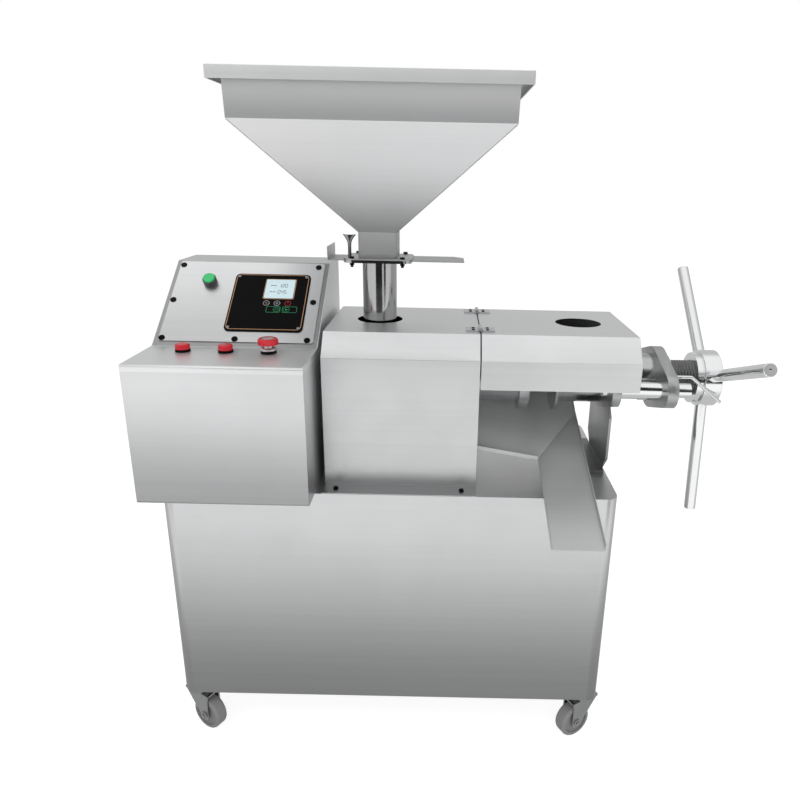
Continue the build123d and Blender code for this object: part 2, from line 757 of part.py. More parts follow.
with BuildPart() as feed_pipe:
    with BuildSketch(feed_plan.offset(throat_z)):
        Circle(PIPE_R)
    extrude(amount=flange_z - throat_z)
    with BuildSketch(feed_plan.offset(flange_z)):
        RectangleRounded(FLANGE_X, FLANGE_Y, FLANGE_R)
    extrude(amount=upper_z - flange_z)
    with BuildSketch(feed_plan.offset(gate_z)):
        Rectangle(FLANGE_X, FLANGE_Y - 2 * RAIL_W)
    extrude(amount=upper_z - gate_z, mode=Mode.SUBTRACT)
    with BuildSketch(feed_plan.offset(throat_z)):
        Circle(PIPE_R - PIPE_WALL)
    extrude(amount=upper_z - throat_z, mode=Mode.SUBTRACT)
    with BuildSketch(feed_plan.offset(flange_z)):
        with Locations(bolt_points):
            Circle(BOLT_R + HOLE_PLAY)
    extrude(amount=upper_z - flange_z, mode=Mode.SUBTRACT)
save(feed_pipe.part, "feed_pipe")

with BuildPart() as slide_gate:
    gate_w = FLANGE_Y - 2 * RAIL_W - 4 * RUN
    with BuildSketch(feed_plan.offset(gate_z + RUN)):
        with BuildLine():
            Polyline(
                (-GATE_LEFT, -gate_w / 2),
                (GATE_RIGHT, -gate_w / 2),
                (GATE_RIGHT, gate_w / 2 - GATE_BEVEL),
                (GATE_RIGHT - GATE_BEVEL, gate_w / 2),
                (-GATE_LEFT, gate_w / 2),
                close=True,
            )
        make_face()
        Circle(PIPE_R - PIPE_WALL, mode=Mode.SUBTRACT)
    extrude(amount=GATE_T)
    with BuildSketch(feed_plan.offset(gate_z + RUN)):
        with Locations((-GATE_LEFT + GATE_T / 2, 0)):
            Rectangle(GATE_T, gate_w)
    extrude(amount=GATE_TAB)
save(slide_gate.part, "slide_gate")

with BuildPart() as upper_flange:
    with BuildSketch(feed_plan.offset(upper_z)):
        RectangleRounded(FLANGE_X, FLANGE_Y, FLANGE_R)
        Circle(PIPE_R - PIPE_WALL, mode=Mode.SUBTRACT)
        with Locations(bolt_points, (-WING_LEFT, -WING_FRONT)):
            Circle(BOLT_R + HOLE_PLAY, mode=Mode.SUBTRACT)
    extrude(amount=FLANGE_T)
save(upper_flange.part, "upper_flange")

# Flange bolts on the four corners
with BuildPart() as flange_bolts:
    for bolt_point in bolt_points:
        with BuildSketch(feed_plan.offset(flange_z - BOLT_HEAD)):
            with Locations(bolt_point):
                RegularPolygon(BOLT_AF / 2, 6, major_radius=False)
        extrude(amount=BOLT_HEAD)
        with BuildSketch(feed_plan.offset(neck_z)):
            with Locations(bolt_point):
                RegularPolygon(BOLT_AF / 2, 6, major_radius=False)
        extrude(amount=BOLT_HEAD)
        with BuildSketch(feed_plan.offset(flange_z - 2 * BOLT_HEAD)):
            with Locations(bolt_point):
                Circle(BOLT_R)
        extrude(amount=neck_z - flange_z + 2 * BOLT_HEAD)
save(flange_bolts.part, "flange_bolts")

# Wing screw: it bears on the slide gate through the upper flange and holds it in place
wing_plan = Plane(origin=(feed_x - WING_LEFT, press_y - WING_FRONT, 0))
wing_face = Plane(origin=wing_plan.origin + Vector(0, 0, neck_z), x_dir=(1, 0, 0), z_dir=(0, -1, 0))
with BuildPart() as wing_screw:
    with BuildSketch(wing_plan.offset(upper_z + RUN)):
        Circle(BOLT_R)
    extrude(amount=neck_z + WING_RISE - LOBE_H / 2 - upper_z)
    with BuildSketch(wing_plan.offset(neck_z + RUN)):
        Circle(WING_COLLAR_R)
    extrude(amount=BOLT_HEAD)
    with BuildSketch(wing_face):
        for side_sign in (-1, 1):
            lobe_place = Location((side_sign * LOBE_SHIFT, WING_RISE - LOBE_H / 2), -side_sign * LOBE_TILT)
            with Locations(lobe_place):
                Ellipse(LOBE_W / 2, LOBE_H / 2)
    extrude(amount=WING_T / 2, both=True)
save(wing_screw.part, "wing_screw")

# Hopper: a square neck, a funnel and an upright wall, welded from sheet, under a folded rim
hopper_top = HOPPER + 2 * HOPPER_DRAFT
sections = (
    (neck_z, NECK, SHEET, 0),
    (funnel_z, NECK, SHEET, 0),
    (wall_z, HOPPER, SLANT_WALL, HOPPER_SHIFT),
    (rim_z, hopper_top, SLANT_WALL, HOPPER_SHIFT),
)


def square(level, size):
    """A square section of the hopper at one of its levels."""
    with BuildSketch(feed_plan.offset(level[0]), mode=Mode.PRIVATE) as section:
        with Locations((level[3], 0)):
            Rectangle(size, size)
    return section.sketch


with BuildPart() as hopper:
    for low, high in zip(sections, sections[1:]):
        loft(sections=[square(low, low[1]).face(), square(high, high[1]).face()])
    for low, high in zip(sections, sections[1:]):
        low_hole = square(low, low[1] - 2 * low[2])
        high_hole = square(high, high[1] - 2 * high[2])
        loft(sections=[low_hole.face(), high_hole.face()], mode=Mode.SUBTRACT)
save(hopper.part, "hopper")

rim_plan = feed_plan.offset(rim_z + SHEET - RIM_H).move(Location((HOPPER_SHIFT, 0, 0)))
with BuildPart() as hopper_rim:
    with BuildSketch(rim_plan):
        Rectangle(RIM, RIM)
    extrude(amount=RIM_H)
    with BuildSketch(rim_plan):
        Rectangle(RIM - 2 * SHEET, RIM - 2 * SHEET)
    extrude(amount=RIM_H - SHEET, mode=Mode.SUBTRACT)
    with BuildSketch(rim_plan.offset(RIM_H - SHEET)):
        Rectangle(hopper_top - 2 * SLANT_WALL, hopper_top - 2 * SLANT_WALL)
    extrude(amount=SHEET, mode=Mode.SUBTRACT)
save(hopper_rim.part, "hopper_rim")


def turned(points):
    """A turned solid about the press axis from (x, radius) points, closed along the axis."""
    with BuildPart(mode=Mode.PRIVATE) as body:
        with BuildSketch(turning):
            with BuildLine():
                Polyline(*points, close=True)
            make_face()
        revolve(axis=press_axis)
    return body.part


# Feed body: the worm's intake with its throat, the thrust bearing's pocket and a pedestal
pocket_x = bearing_x0 + (BEARING_L - RACE_L) / 2
with BuildPart() as feed_body:
    add(turned((
        (bearing_x0, 0),
        (bearing_x0, BEARING_R),
        (feed_body_x0, BEARING_R),
        (feed_body_x0, BARREL_R),
        (feed_body_x1 - JOINT_T, BARREL_R),
        (feed_body_x1 - JOINT_T, JOINT_R),
        (feed_body_x1, JOINT_R),
        (feed_body_x1, 0),
    )))
    with BuildSketch(feed_plan.offset(press_z)):
        Circle(THROAT_R)
    extrude(amount=THROAT_H)
    with BuildSketch(Plane.XY.offset(cabinet_z1)):
        with Locations(((feed_body_x0 + feed_body_x1) / 2, press_y)):
            RectangleRounded(FEED_BODY_L, PEDESTAL_W, BEND_R)
    extrude(amount=PRESS_H)
    add(turned((
        (bearing_x0, 0),
        (bearing_x0, SHAFT_R + FIT),
        (pocket_x, SHAFT_R + FIT),
        (pocket_x, RACE_OUT_R),
        (pocket_x + RACE_L, RACE_OUT_R),
        (pocket_x + RACE_L, SHAFT_R + FIT),
        (feed_body_x0, SHAFT_R + FIT),
        (feed_body_x0, BORE_R),
        (feed_body_x1, BORE_R),
        (feed_body_x1, 0),
    )), mode=Mode.SUBTRACT)
    with BuildSketch(feed_plan.offset(press_z)):
        Circle(PIPE_R - PIPE_WALL)
    extrude(amount=THROAT_H, mode=Mode.SUBTRACT)
save(feed_body.part, "feed_body")

save(turned((
    (pocket_x, SHAFT_R + FIT),
    (pocket_x, RACE_OUT_R),
    (pocket_x + RACE_L, RACE_OUT_R),
    (pocket_x + RACE_L, SHAFT_R + FIT),
)), "thrust_bearing")

cage_bolt_ring = (BARREL_R + JOINT_R) / 2


def cage_bolt_places():
    """Places of the cage's bolts over the upper half of its flanges."""
    return PolarLocations(cage_bolt_ring, CAGE_BOLTS, 0, CAGE_BOLT_ARC, endpoint=True)



# Barrel: a rear section, the slotted cage clamped between two flanges, and a front section
with BuildPart() as rear_barrel:
    add(turned((
        (feed_body_x1, BORE_R),
        (feed_body_x1, JOINT_R),
        (feed_body_x1 + JOINT_T, JOINT_R),
        (feed_body_x1 + JOINT_T, BARREL_R),
        (joint_a_x, BARREL_R),
        (joint_a_x, JOINT_R),
        (cage_x, JOINT_R),
        (cage_x, BORE_R),
    )))
    with BuildSketch(across.offset(joint_a_x - CAGE_NUT)):
        with cage_bolt_places():
            Circle(CAGE_BOLT_R + HOLE_PLAY)
    extrude(amount=CAGE_NUT + JOINT_T, mode=Mode.SUBTRACT)
save(rear_barrel.part, "rear_barrel")

with BuildPart() as press_cage:
    add(turned(((cage_x, BORE_R), (cage_x, CAGE_R), (joint_b_x, CAGE_R), (joint_b_x, BORE_R))))
    with BuildSketch(across.offset(cage_x + SLOT_END)):
        with PolarLocations((BORE_R + CAGE_R) / 2, CAGE_SLOTS):
            Rectangle(CAGE_R, SLOT_W)
        Circle(BORE_R - SLOT_W, mode=Mode.SUBTRACT)
    extrude(amount=CAGE_L - 2 * SLOT_END, mode=Mode.SUBTRACT)
save(press_cage.part, "press_cage")

with BuildPart() as front_barrel:
    add(turned((
        (joint_b_x, BORE_R),
        (joint_b_x, JOINT_R),
        (barrel_b_x, JOINT_R),
        (barrel_b_x, FRONT_BARREL_R),
        (head_x, FRONT_BARREL_R),
        (head_x, BORE_R),
    )))
    with BuildSketch(across.offset(joint_b_x)):
        with cage_bolt_places():
            Circle(CAGE_BOLT_R + HOLE_PLAY)
    extrude(amount=JOINT_B_T + CAGE_NUT, mode=Mode.SUBTRACT)
save(front_barrel.part, "front_barrel")

with BuildPart() as cage_bolts:
    with BuildSketch(across.offset(joint_a_x - CAGE_NUT)):
        with cage_bolt_places():
            Circle(CAGE_BOLT_R)
    extrude(amount=barrel_b_x - joint_a_x + 2 * CAGE_NUT)
    for nut_x in (joint_a_x - CAGE_NUT, barrel_b_x):
        with BuildSketch(across.offset(nut_x)):
            with cage_bolt_places():
                RegularPolygon(CAGE_NUT_R, 6, major_radius=False)
        extrude(amount=CAGE_NUT)
save(cage_bolts.part, "cage_bolts")

# Worm: a core that thickens towards the head, a helical flight, and the shaft to the gearbox
worm_x0 = feed_body_x0 + RUN
worm_x1 = head_x - WORM_END_GAP
shaft_x0 = control_x1 - SHEET - GEARBOX_BOSS_L - SHAFT_IN
flight_x0 = worm_x0 + WORM_FLIGHT
flight_l = worm_x1 - worm_x0 - 2 * WORM_FLIGHT
flight_root = WORM_CORE_IN - WORM_FLIGHT / 2
flight_depth = WORM_R - flight_root
with BuildPart() as press_screw:
    with BuildLine() as flight_path:
        Helix(
            WORM_PITCH,
            flight_l,
            flight_root + flight_depth / 2,
            center=(flight_x0, press_y, press_z),
            direction=(1, 0, 0),
        )
    flight_start = flight_path.line @ 0
    outward = flight_start - Vector(flight_x0, press_y, press_z)
    with BuildSketch(Plane(origin=flight_start, x_dir=outward, z_dir=flight_path.line % 0)):
        Rectangle(flight_depth, WORM_FLIGHT)
    sweep(is_frenet=True)
    add(turned((
        (shaft_x0, 0),
        (shaft_x0, SHAFT_R),
        (worm_x0, SHAFT_R),
        (worm_x0, WORM_CORE_IN),
        (worm_x1, WORM_CORE_OUT),
        (worm_x1, 0),
    )))
save(press_screw.part, "press_screw")


def ear_outline(x, grow):
    """The outline of a rhombic flange with a round middle and two ears, grown on every side."""
    with BuildSketch(across.offset(x), mode=Mode.PRIVATE) as outline:
        Circle(PLATE_R + grow)
        with Locations((-TIE_Y, 0), (TIE_Y, 0)):
            Circle(EAR_R + grow)
        make_hull()
    return outline.sketch


def ear_plate(x, thickness):
    """A rhombic flange with a hole for each tie rod, from x along the press axis."""
    with BuildPart(mode=Mode.PRIVATE) as plate:
        extrude(ear_outline(x, 0), amount=thickness)
        with BuildSketch(across.offset(x)):
            with Locations((-TIE_Y, 0), (TIE_Y, 0)):
                Circle(TIE_END_R + HOLE_PLAY)
        extrude(amount=thickness, mode=Mode.SUBTRACT)
    return plate.part


# Choke head: two eared plates held apart by the head cylinder and tied by two rods
with BuildPart() as head_plate:
    add(ear_plate(head_x, HEAD_T))
    with BuildSketch(across.offset(head_x)):
        Circle(THROTTLE_R)
    extrude(amount=HEAD_T, mode=Mode.SUBTRACT)
save(head_plate.part, "head_plate")

with BuildPart() as yoke_plate:
    add(ear_plate(yoke_x, YOKE_T))
    with BuildSketch(across.offset(yoke_x)):
        Circle(CHOKE_R + RUN)
    extrude(amount=YOKE_T, mode=Mode.SUBTRACT)
save(yoke_plate.part, "yoke_plate")

with BuildPart() as head_cylinder:
    add(turned((
        (choke_head_x, HEAD_BORE),
        (choke_head_x, HEAD_R),
        (yoke_x, HEAD_R),
        (yoke_x, HEAD_BORE),
    )))
    with BuildSketch(Plane.XY.offset(press_z - HEAD_R)):
        with Locations(((choke_head_x + yoke_x) / 2, press_y)):
            RectangleRounded(CAKE_L, CAKE_W, BEND_R)
    extrude(amount=HEAD_R / 2, mode=Mode.SUBTRACT)
save(head_cylinder.part, "head_cylinder")

with BuildPart() as tie_rods:
    for tie_y in (-TIE_Y, TIE_Y):
        for x0, x1, radius in (
            (head_x - TIE_NUT_IN, head_x, TIE_NUT_R),
            (head_x, choke_head_x, TIE_END_R),
            (choke_head_x, yoke_x, TIE_R),
            (yoke_x, yoke_x1, TIE_END_R),
            (yoke_x1, yoke_x1 + TIE_NUT_OUT, TIE_NUT_R),
        ):
            with BuildSketch(across.offset(x0)):
                with Locations((tie_y, 0)):
                    Circle(radius)
            extrude(amount=x1 - x0)
save(tie_rods.part, "tie_rods")

# Choke: a cone on a spigot in the end of the adjusting screw, which the handwheel turns
cone_x1 = choke_x0
with BuildPart() as choke_cone:
    add(turned((
        (cone_x1 - CONE_L, 0),
        (cone_x1 - CONE_L, CONE_TIP_R),
        (cone_x1 - SHEET, CONE_R),
        (cone_x1, CONE_R),
        (cone_x1, SPIGOT_R),
        (cone_x1 + SPIGOT_L, SPIGOT_R),
        (cone_x1 + SPIGOT_L, 0),
    )))
save(choke_cone.part, "choke_cone")

screw_x0 = choke_x0 + RUN
screw_x1 = hub_x1 - HUB_END
with BuildPart() as adjusting_screw:
    add(turned((
        (screw_x0, SPIGOT_R + FIT),
        (screw_x0, CHOKE_R - SHEET),
        (screw_x0 + SHEET, CHOKE_R),
        (screw_x1, CHOKE_R),
        (screw_x1, 0),
        (cone_x1 + SPIGOT_L + RUN, 0),
        (cone_x1 + SPIGOT_L + RUN, SPIGOT_R + FIT),
    )))
save(adjusting_screw.part, "adjusting_screw")

# Handwheel: a stepped hub screwed on the adjusting screw, with round bars in its rim
bar_x = (hub_x + hub_x1) / 2


def bar_plane(angle, reach):
    """A plane square to a bar, at the given reach from the press axis; 0 degrees is the front."""
    out = Vector(0, -cos(radians(angle)), sin(radians(angle)))
    return Plane(origin=Vector(bar_x, press_y, press_z) + out * reach, x_dir=(1, 0, 0), z_dir=out)


with BuildPart() as handwheel_hub:
    add(turned((
        (hub_ring_x, CHOKE_R + HOLE_PLAY),
        (hub_ring_x, HUB_RING_R),
        (hub_x, HUB_RING_R),
        (hub_x, HUB_R),
        (hub_x1, HUB_R),
        (hub_x1, 0),
        (screw_x1, 0),
        (screw_x1, CHOKE_R + HOLE_PLAY),
    )))
    circles = handwheel_hub.edges().filter_by(GeomType.CIRCLE)
    fillet(circles.filter_by(lambda edge: abs(edge.radius - HUB_R) < FIT), SHEET)
    for angle in BAR_ANGLES:
        with BuildSketch(bar_plane(angle, HUB_R - BAR_SEAT)):
            Circle(BAR_R + FIT)
        extrude(amount=BAR_SEAT + SHEET, mode=Mode.SUBTRACT)
save(handwheel_hub.part, "handwheel_hub")

with BuildPart() as handle_bars:
    for angle in BAR_ANGLES:
        with BuildSketch(bar_plane(angle, HUB_R - BAR_SEAT)):
            Circle(BAR_R)
        extrude(amount=BAR_REACH - HUB_R + BAR_SEAT)
    wheel_middle = bar_plane(0, 0).origin
    circles = handle_bars.edges().filter_by(GeomType.CIRCLE)
    outer_ends = circles.filter_by(lambda edge: (edge.arc_center - wheel_middle).length > HUB_R)
    chamfer(outer_ends, SHEET / 2)
    for angle in BAR_ANGLES:
        with BuildSketch(bar_plane(angle, BAR_REACH - BAR_DRILL)):
            Circle(BAR_DRILL_R)
        extrude(amount=BAR_DRILL, mode=Mode.SUBTRACT)
save(handle_bars.part, "handle_bars")

# Lock nut on the adjusting screw, with a bent rod for a lever
rod_r = HUB_R + LOCK_ROD_R + LOCK_ROD_GAP
lock_x = yoke_x1 + RUN


def rod_point(x, radius, angle):
    """A point at a radius about the press axis; the angle counts up from the front."""
    return (x, press_y - radius * cos(radians(angle)), press_z + radius * sin(radians(angle)))


with BuildPart() as lock_lever:
    add(turned((
        (lock_x, CHOKE_R + RUN),
        (lock_x, LOCK_RING_R),
        (lock_x + LOCK_RING_L, LOCK_RING_R),
        (lock_x + LOCK_RING_L, CHOKE_R + RUN),
    )))
    rod_x = lock_x + LOCK_RING_L / 2
    with BuildLine() as rod_path:
        FilletPolyline(
            rod_point(rod_x, LOCK_RING_R - LOCK_ROD_R, LOCK_ANGLE),
            rod_point(rod_x, rod_r, LOCK_ANGLE),
            rod_point(rod_x + LOCK_STRAIGHT, rod_r, LOCK_ANGLE),
            rod_point(rod_x + LOCK_STRAIGHT + LOCK_REACH, rod_r + LOCK_FLARE, LOCK_ANGLE - LOCK_SWEEP),
            radius=2 * LOCK_ROD_R,
        )
    with BuildSketch(Plane(origin=rod_path.line @ 0, z_dir=rod_path.line % 0)):
        Circle(LOCK_ROD_R)
    sweep()
save(lock_lever.part, "lock_lever")

# Support plate: a saddle under the head plate, on a foot at the cabinet's right edge
support_x = cabinet_x1 - SUPPORT_T
with BuildPart() as support_plate:
    with BuildSketch(Plane.YZ.offset(support_x)) as saddle:
        with Locations((press_y, cabinet_z1 + SUPPORT_RISE / 2)):
            Rectangle(SUPPORT_W, SUPPORT_RISE)
        chamfer(saddle.vertices().group_by(Axis.Z)[-1], SUPPORT_CHAMFER)
    extrude(amount=SUPPORT_T)
    extrude(ear_outline(support_x, FIT), amount=SUPPORT_T, mode=Mode.SUBTRACT)
    with BuildSketch(Plane.XY.offset(cabinet_z1)):
        with Locations((support_x - SUPPORT_FOOT / 2, press_y)):
            Rectangle(SUPPORT_FOOT, SUPPORT_W)
    extrude(amount=FOOT_T)
save(support_plate.part, "support_plate")

# Oil chute and drip tray: two sloping sheets under the barrel that meet in a slanting fold
chute_y0 = press_y - CHUTE_REACH
chute_y1 = press_y + CHUTE_BACK
tray_y0 = press_y - TRAY_FRONT
fold_lean = TRAY_SLOPE / (TRAY_FALL - CHUTE_SLOPE)
fold_y = tray_y0 + fold_lean * CHUTE_W


def chute_z(x, y):
    """Height of the chute's underside over a point of the plan."""
    return cabinet_z1 + RUN + CHUTE_SLOPE * (y - cabinet_y0)


def tray_z(x, y):
    """Height of the tray's underside over a point of the plan."""
    return chute_z(chute_x0, tray_y0) + TRAY_SLOPE * (chute_x0 - x) + TRAY_FALL * (y - tray_y0)


def slab(level, height, *corners):
    """An upright slab on a sloping sheet: level gives its underside over the plan's corners."""
    with BuildLine(mode=Mode.PRIVATE) as edge:
        Polyline(*[(x, y, level(x, y)) for x, y in corners], close=True)
    return extrude(Face(edge.wire()), amount=height, dir=(0, 0, 1), mode=Mode.PRIVATE)


def rectangle_slab(level, height, x0, x1, y0, y1):
    """A slab over a rectangle of the plan."""
    return slab(level, height, (x0, y0), (x1, y0), (x1, y1), (x0, y1))


with BuildPart() as oil_chute:
    add(slab(
        chute_z,
        SHEET,
        (chute_x0, chute_y0),
        (chute_x1 - CHUTE_CLIP, chute_y0),
        (chute_x1, chute_y0 + CHUTE_CLIP),
        (chute_x1, fold_y),
        (chute_x0, tray_y0),
    ))
    add(rectangle_slab(chute_z, CHUTE_LIP, chute_x0, chute_x0 + SHEET, chute_y0, tray_y0))
    add(slab(
        chute_z,
        CHUTE_WALL,
        (chute_x1 - SHEET, chute_y0 + CHUTE_CLIP),
        (chute_x1, chute_y0 + CHUTE_CLIP),
        (chute_x1, fold_y),
        (chute_x1 - SHEET, fold_y - fold_lean * SHEET),
    ))
save(oil_chute.part, "oil_chute")

leg_x = (chute_x0 + chute_x1) / 2
leg_y0 = press_y + TRAY_LEG_BACK
leg_y1 = leg_y0 + TRAY_LEG_D
with BuildPart() as drip_tray:
    add(slab(
        tray_z,
        SHEET,
        (cover_x1, tray_y0),
        (chute_x0, tray_y0),
        (chute_x1, fold_y),
        (chute_x1, chute_y1),
        (cover_x1, chute_y1),
    ))
    add(rectangle_slab(tray_z, TRAY_LIP, cover_x1, chute_x0, tray_y0, tray_y0 + SHEET))
    add(rectangle_slab(tray_z, CHUTE_WALL, chute_x1 - SHEET, chute_x1, fold_y, chute_y1))
    add(rectangle_slab(tray_z, CHUTE_WALL, cover_x1, chute_x1, chute_y1 - SHEET, chute_y1))
    with BuildSketch(Plane.YZ.offset(leg_x)):
        with BuildLine():
            Polyline(
                (leg_y0, cabinet_z1),
                (leg_y1, cabinet_z1),
                (leg_y1, tray_z(leg_x, leg_y1) + SHEET / 2),
                (leg_y0, tray_z(leg_x, leg_y0) + SHEET / 2),
                close=True,
            )
        make_face()
    extrude(amount=SHEET)
    with BuildSketch(Plane.XY.offset(cabinet_z1)):
        with Locations((leg_x + TRAY_FOOT / 2, (leg_y0 + leg_y1) / 2)):
            Rectangle(TRAY_FOOT, TRAY_LEG_D)
    extrude(amount=SHEET)
save(drip_tray.part, "drip_tray")

# Drive: gearbox on the cabinet, motor on its floor, and a pair of belts between their pulleys
with BuildPart() as gearbox:
    with BuildSketch(Plane.YZ.offset(gearbox_x0)) as case_end:
        with Locations((press_y, cabinet_z1 + (PRESS_H + GEARBOX_RISE) / 2)):
            Rectangle(GEARBOX_W, PRESS_H + GEARBOX_RISE)
        fillet(case_end.vertices(), GEARBOX_R)
    extrude(amount=GEARBOX_L)
    with BuildSketch(across.offset(gearbox_x1)):
        Circle(GEARBOX_BOSS_R)
    extrude(amount=GEARBOX_BOSS_L)
    with BuildSketch(across.offset(shaft_x0 - RUN)):
        Circle(SHAFT_R + FIT)
    extrude(amount=SHAFT_IN + GEARBOX_BOSS_L + RUN, mode=Mode.SUBTRACT)
    with BuildSketch(across.offset(gearbox_x0)):
        Circle(DRIVE_SHAFT_R + FIT)
    extrude(amount=SHAFT_IN + RUN, mode=Mode.SUBTRACT)
save(gearbox.part, "gearbox")

with BuildPart() as motor:
    motor_axis = Plane(origin=(gearbox_x0, press_y, motor_z), x_dir=(0, 1, 0), z_dir=(1, 0, 0))
    with BuildSketch(motor_axis):
        Circle(MOTOR_R)
    extrude(amount=MOTOR_L)
    fillet(motor.edges().filter_by(GeomType.CIRCLE), GEARBOX_R)
    with BuildSketch(Plane.XY.offset(floor_z)):
        with Locations((gearbox_x0 + MOTOR_L / 2, press_y)):
            RectangleRounded(MOTOR_L / 2, 2 * MOTOR_R, BEND_R)
    extrude(amount=MOTOR_FOOT_T)
    with BuildSketch(Plane.XY.offset(floor_z)):
        with Locations((gearbox_x0 + MOTOR_L / 2, press_y)):
            Rectangle(MOTOR_L / 3, MOTOR_R)
    extrude(amount=MOTOR_RISE)
    with BuildSketch(motor_axis):
        Circle(DRIVE_SHAFT_R + FIT)
    extrude(amount=SHAFT_IN + RUN, mode=Mode.SUBTRACT)
save(motor.part, "motor")


def pulley(z, radius):
    """A two-groove pulley with its shaft, turning about the X direction at height z."""
    axle = Plane(origin=(0, press_y, z), x_dir=(0, 1, 0), z_dir=(1, 0, 0))
    with BuildPart(mode=Mode.PRIVATE) as wheel:
        with BuildSketch(axle.offset(pulley_x0)):
            Circle(radius)
        extrude(amount=PULLEY_L)
        for groove in (-GROOVE_PITCH / 2, GROOVE_PITCH / 2):
            with BuildSketch(axle.offset(pulley_x + groove - GROOVE_W / 2)):
                Circle(radius)
                Circle(radius - GROOVE_D, mode=Mode.SUBTRACT)
            extrude(amount=GROOVE_W, mode=Mode.SUBTRACT)
        with BuildSketch(axle.offset(pulley_x0)):
            Circle(DRIVE_SHAFT_R)
        extrude(amount=PULLEY_L + PULLEY_STUB + SHAFT_IN)
    return wheel.part


save(pulley(press_z, PULLEY_R), "gearbox_pulley")
save(pulley(motor_z, MOTOR_PULLEY_R), "motor_pulley")

with BuildPart() as drive_belts:
    for groove in (-GROOVE_PITCH / 2, GROOVE_PITCH / 2):
        for lift, mode in ((BELT_T, Mode.ADD), (0, Mode.SUBTRACT)):
            with BuildSketch(Plane.YZ.offset(pulley_x + groove - BELT_W / 2)):
                with Locations((press_y, press_z)):
                    Circle(PULLEY_R - GROOVE_D + RUN + lift)
                with Locations((press_y, motor_z)):
                    Circle(MOTOR_PULLEY_R - GROOVE_D + RUN + lift)
                make_hull()
            extrude(amount=BELT_W, mode=mode)
save(drive_belts.part, "drive_belts")
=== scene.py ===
"""Dresses a screw oil press: finishes for its sheet steel, machined and moulded pieces, the panel's
face, screws, welds and threads, and a plain pale stage."""

import json
from math import radians
from types import SimpleNamespace

import bmesh
import bpy
import numpy as np
from bpy.props import FloatProperty, FloatVectorProperty, IntProperty, PointerProperty
from mathutils import Matrix, Vector


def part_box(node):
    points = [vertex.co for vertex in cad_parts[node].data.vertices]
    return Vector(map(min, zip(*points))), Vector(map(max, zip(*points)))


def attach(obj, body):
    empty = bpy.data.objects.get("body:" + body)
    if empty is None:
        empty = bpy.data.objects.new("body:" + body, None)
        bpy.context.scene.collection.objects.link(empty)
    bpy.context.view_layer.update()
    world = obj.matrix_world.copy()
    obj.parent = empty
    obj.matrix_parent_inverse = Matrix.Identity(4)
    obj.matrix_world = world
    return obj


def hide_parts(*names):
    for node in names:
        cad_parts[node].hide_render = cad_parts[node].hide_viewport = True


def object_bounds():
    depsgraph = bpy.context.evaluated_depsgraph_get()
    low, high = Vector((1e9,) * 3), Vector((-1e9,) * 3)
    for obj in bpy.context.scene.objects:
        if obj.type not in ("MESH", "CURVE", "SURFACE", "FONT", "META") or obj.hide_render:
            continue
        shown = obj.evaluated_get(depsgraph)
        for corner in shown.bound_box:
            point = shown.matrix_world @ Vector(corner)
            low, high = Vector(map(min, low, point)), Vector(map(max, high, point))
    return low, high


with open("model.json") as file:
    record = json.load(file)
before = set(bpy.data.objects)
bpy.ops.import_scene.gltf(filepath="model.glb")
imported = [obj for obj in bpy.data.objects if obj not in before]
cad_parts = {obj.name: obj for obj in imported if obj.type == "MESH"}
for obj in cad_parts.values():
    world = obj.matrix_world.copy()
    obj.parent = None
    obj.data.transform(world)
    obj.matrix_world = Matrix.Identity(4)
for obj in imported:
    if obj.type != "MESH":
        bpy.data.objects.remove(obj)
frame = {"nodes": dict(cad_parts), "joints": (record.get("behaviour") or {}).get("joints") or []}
CAD_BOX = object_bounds()

bl_info = {
    "name": "Screw Oil Press",
    "version": (1, 0, 0),
    "blender": (4, 5, 0),
    "location": "View3D > Sidebar > Oil Press",
    "description": "Dresses the packed oil press and sets its stage",
    "category": "Object",
}

MM = 0.001
SIDEBAR = "Oil Press"
NODES = frame["nodes"]
LEVELS = (CAD_BOX[0][2], CAD_BOX[1][2])
WHITE = (1.0, 1.0, 1.0, 1.0)
CASTERS = ("front_left", "front_right", "rear_left", "rear_right")


def length_value(label, description, millimetres):
    """A size in metres that the sidebar shows as a length."""
    return FloatProperty(
        name=label, description=description, default=millimetres * MM, min=0.0,
        precision=5, subtype="DISTANCE", unit="LENGTH",
    )


def place_value(label, description, metres):
    """A place along one direction."""
    return FloatProperty(name=label, description=description, default=metres, unit="LENGTH")


def angle_value(label, description, degrees):
    """An angle, given in degrees."""
    return FloatProperty(name=label, description=description, default=radians(degrees), subtype="ANGLE")


def power_value(label, description, watts):
    """A lamp's power."""
    return FloatProperty(name=label, description=description, default=watts, min=0.0)


def share_value(label, description, value):
    """A plain share between nothing and one."""
    return FloatProperty(name=label, description=description, default=value, min=0.0, max=1.0)


def colour_value(label, description, red, green, blue):
    """A linear colour."""
    return FloatVectorProperty(
        name=label, description=description, default=(red, green, blue),
        min=0.0, max=1.0, size=3, subtype="COLOR",
    )


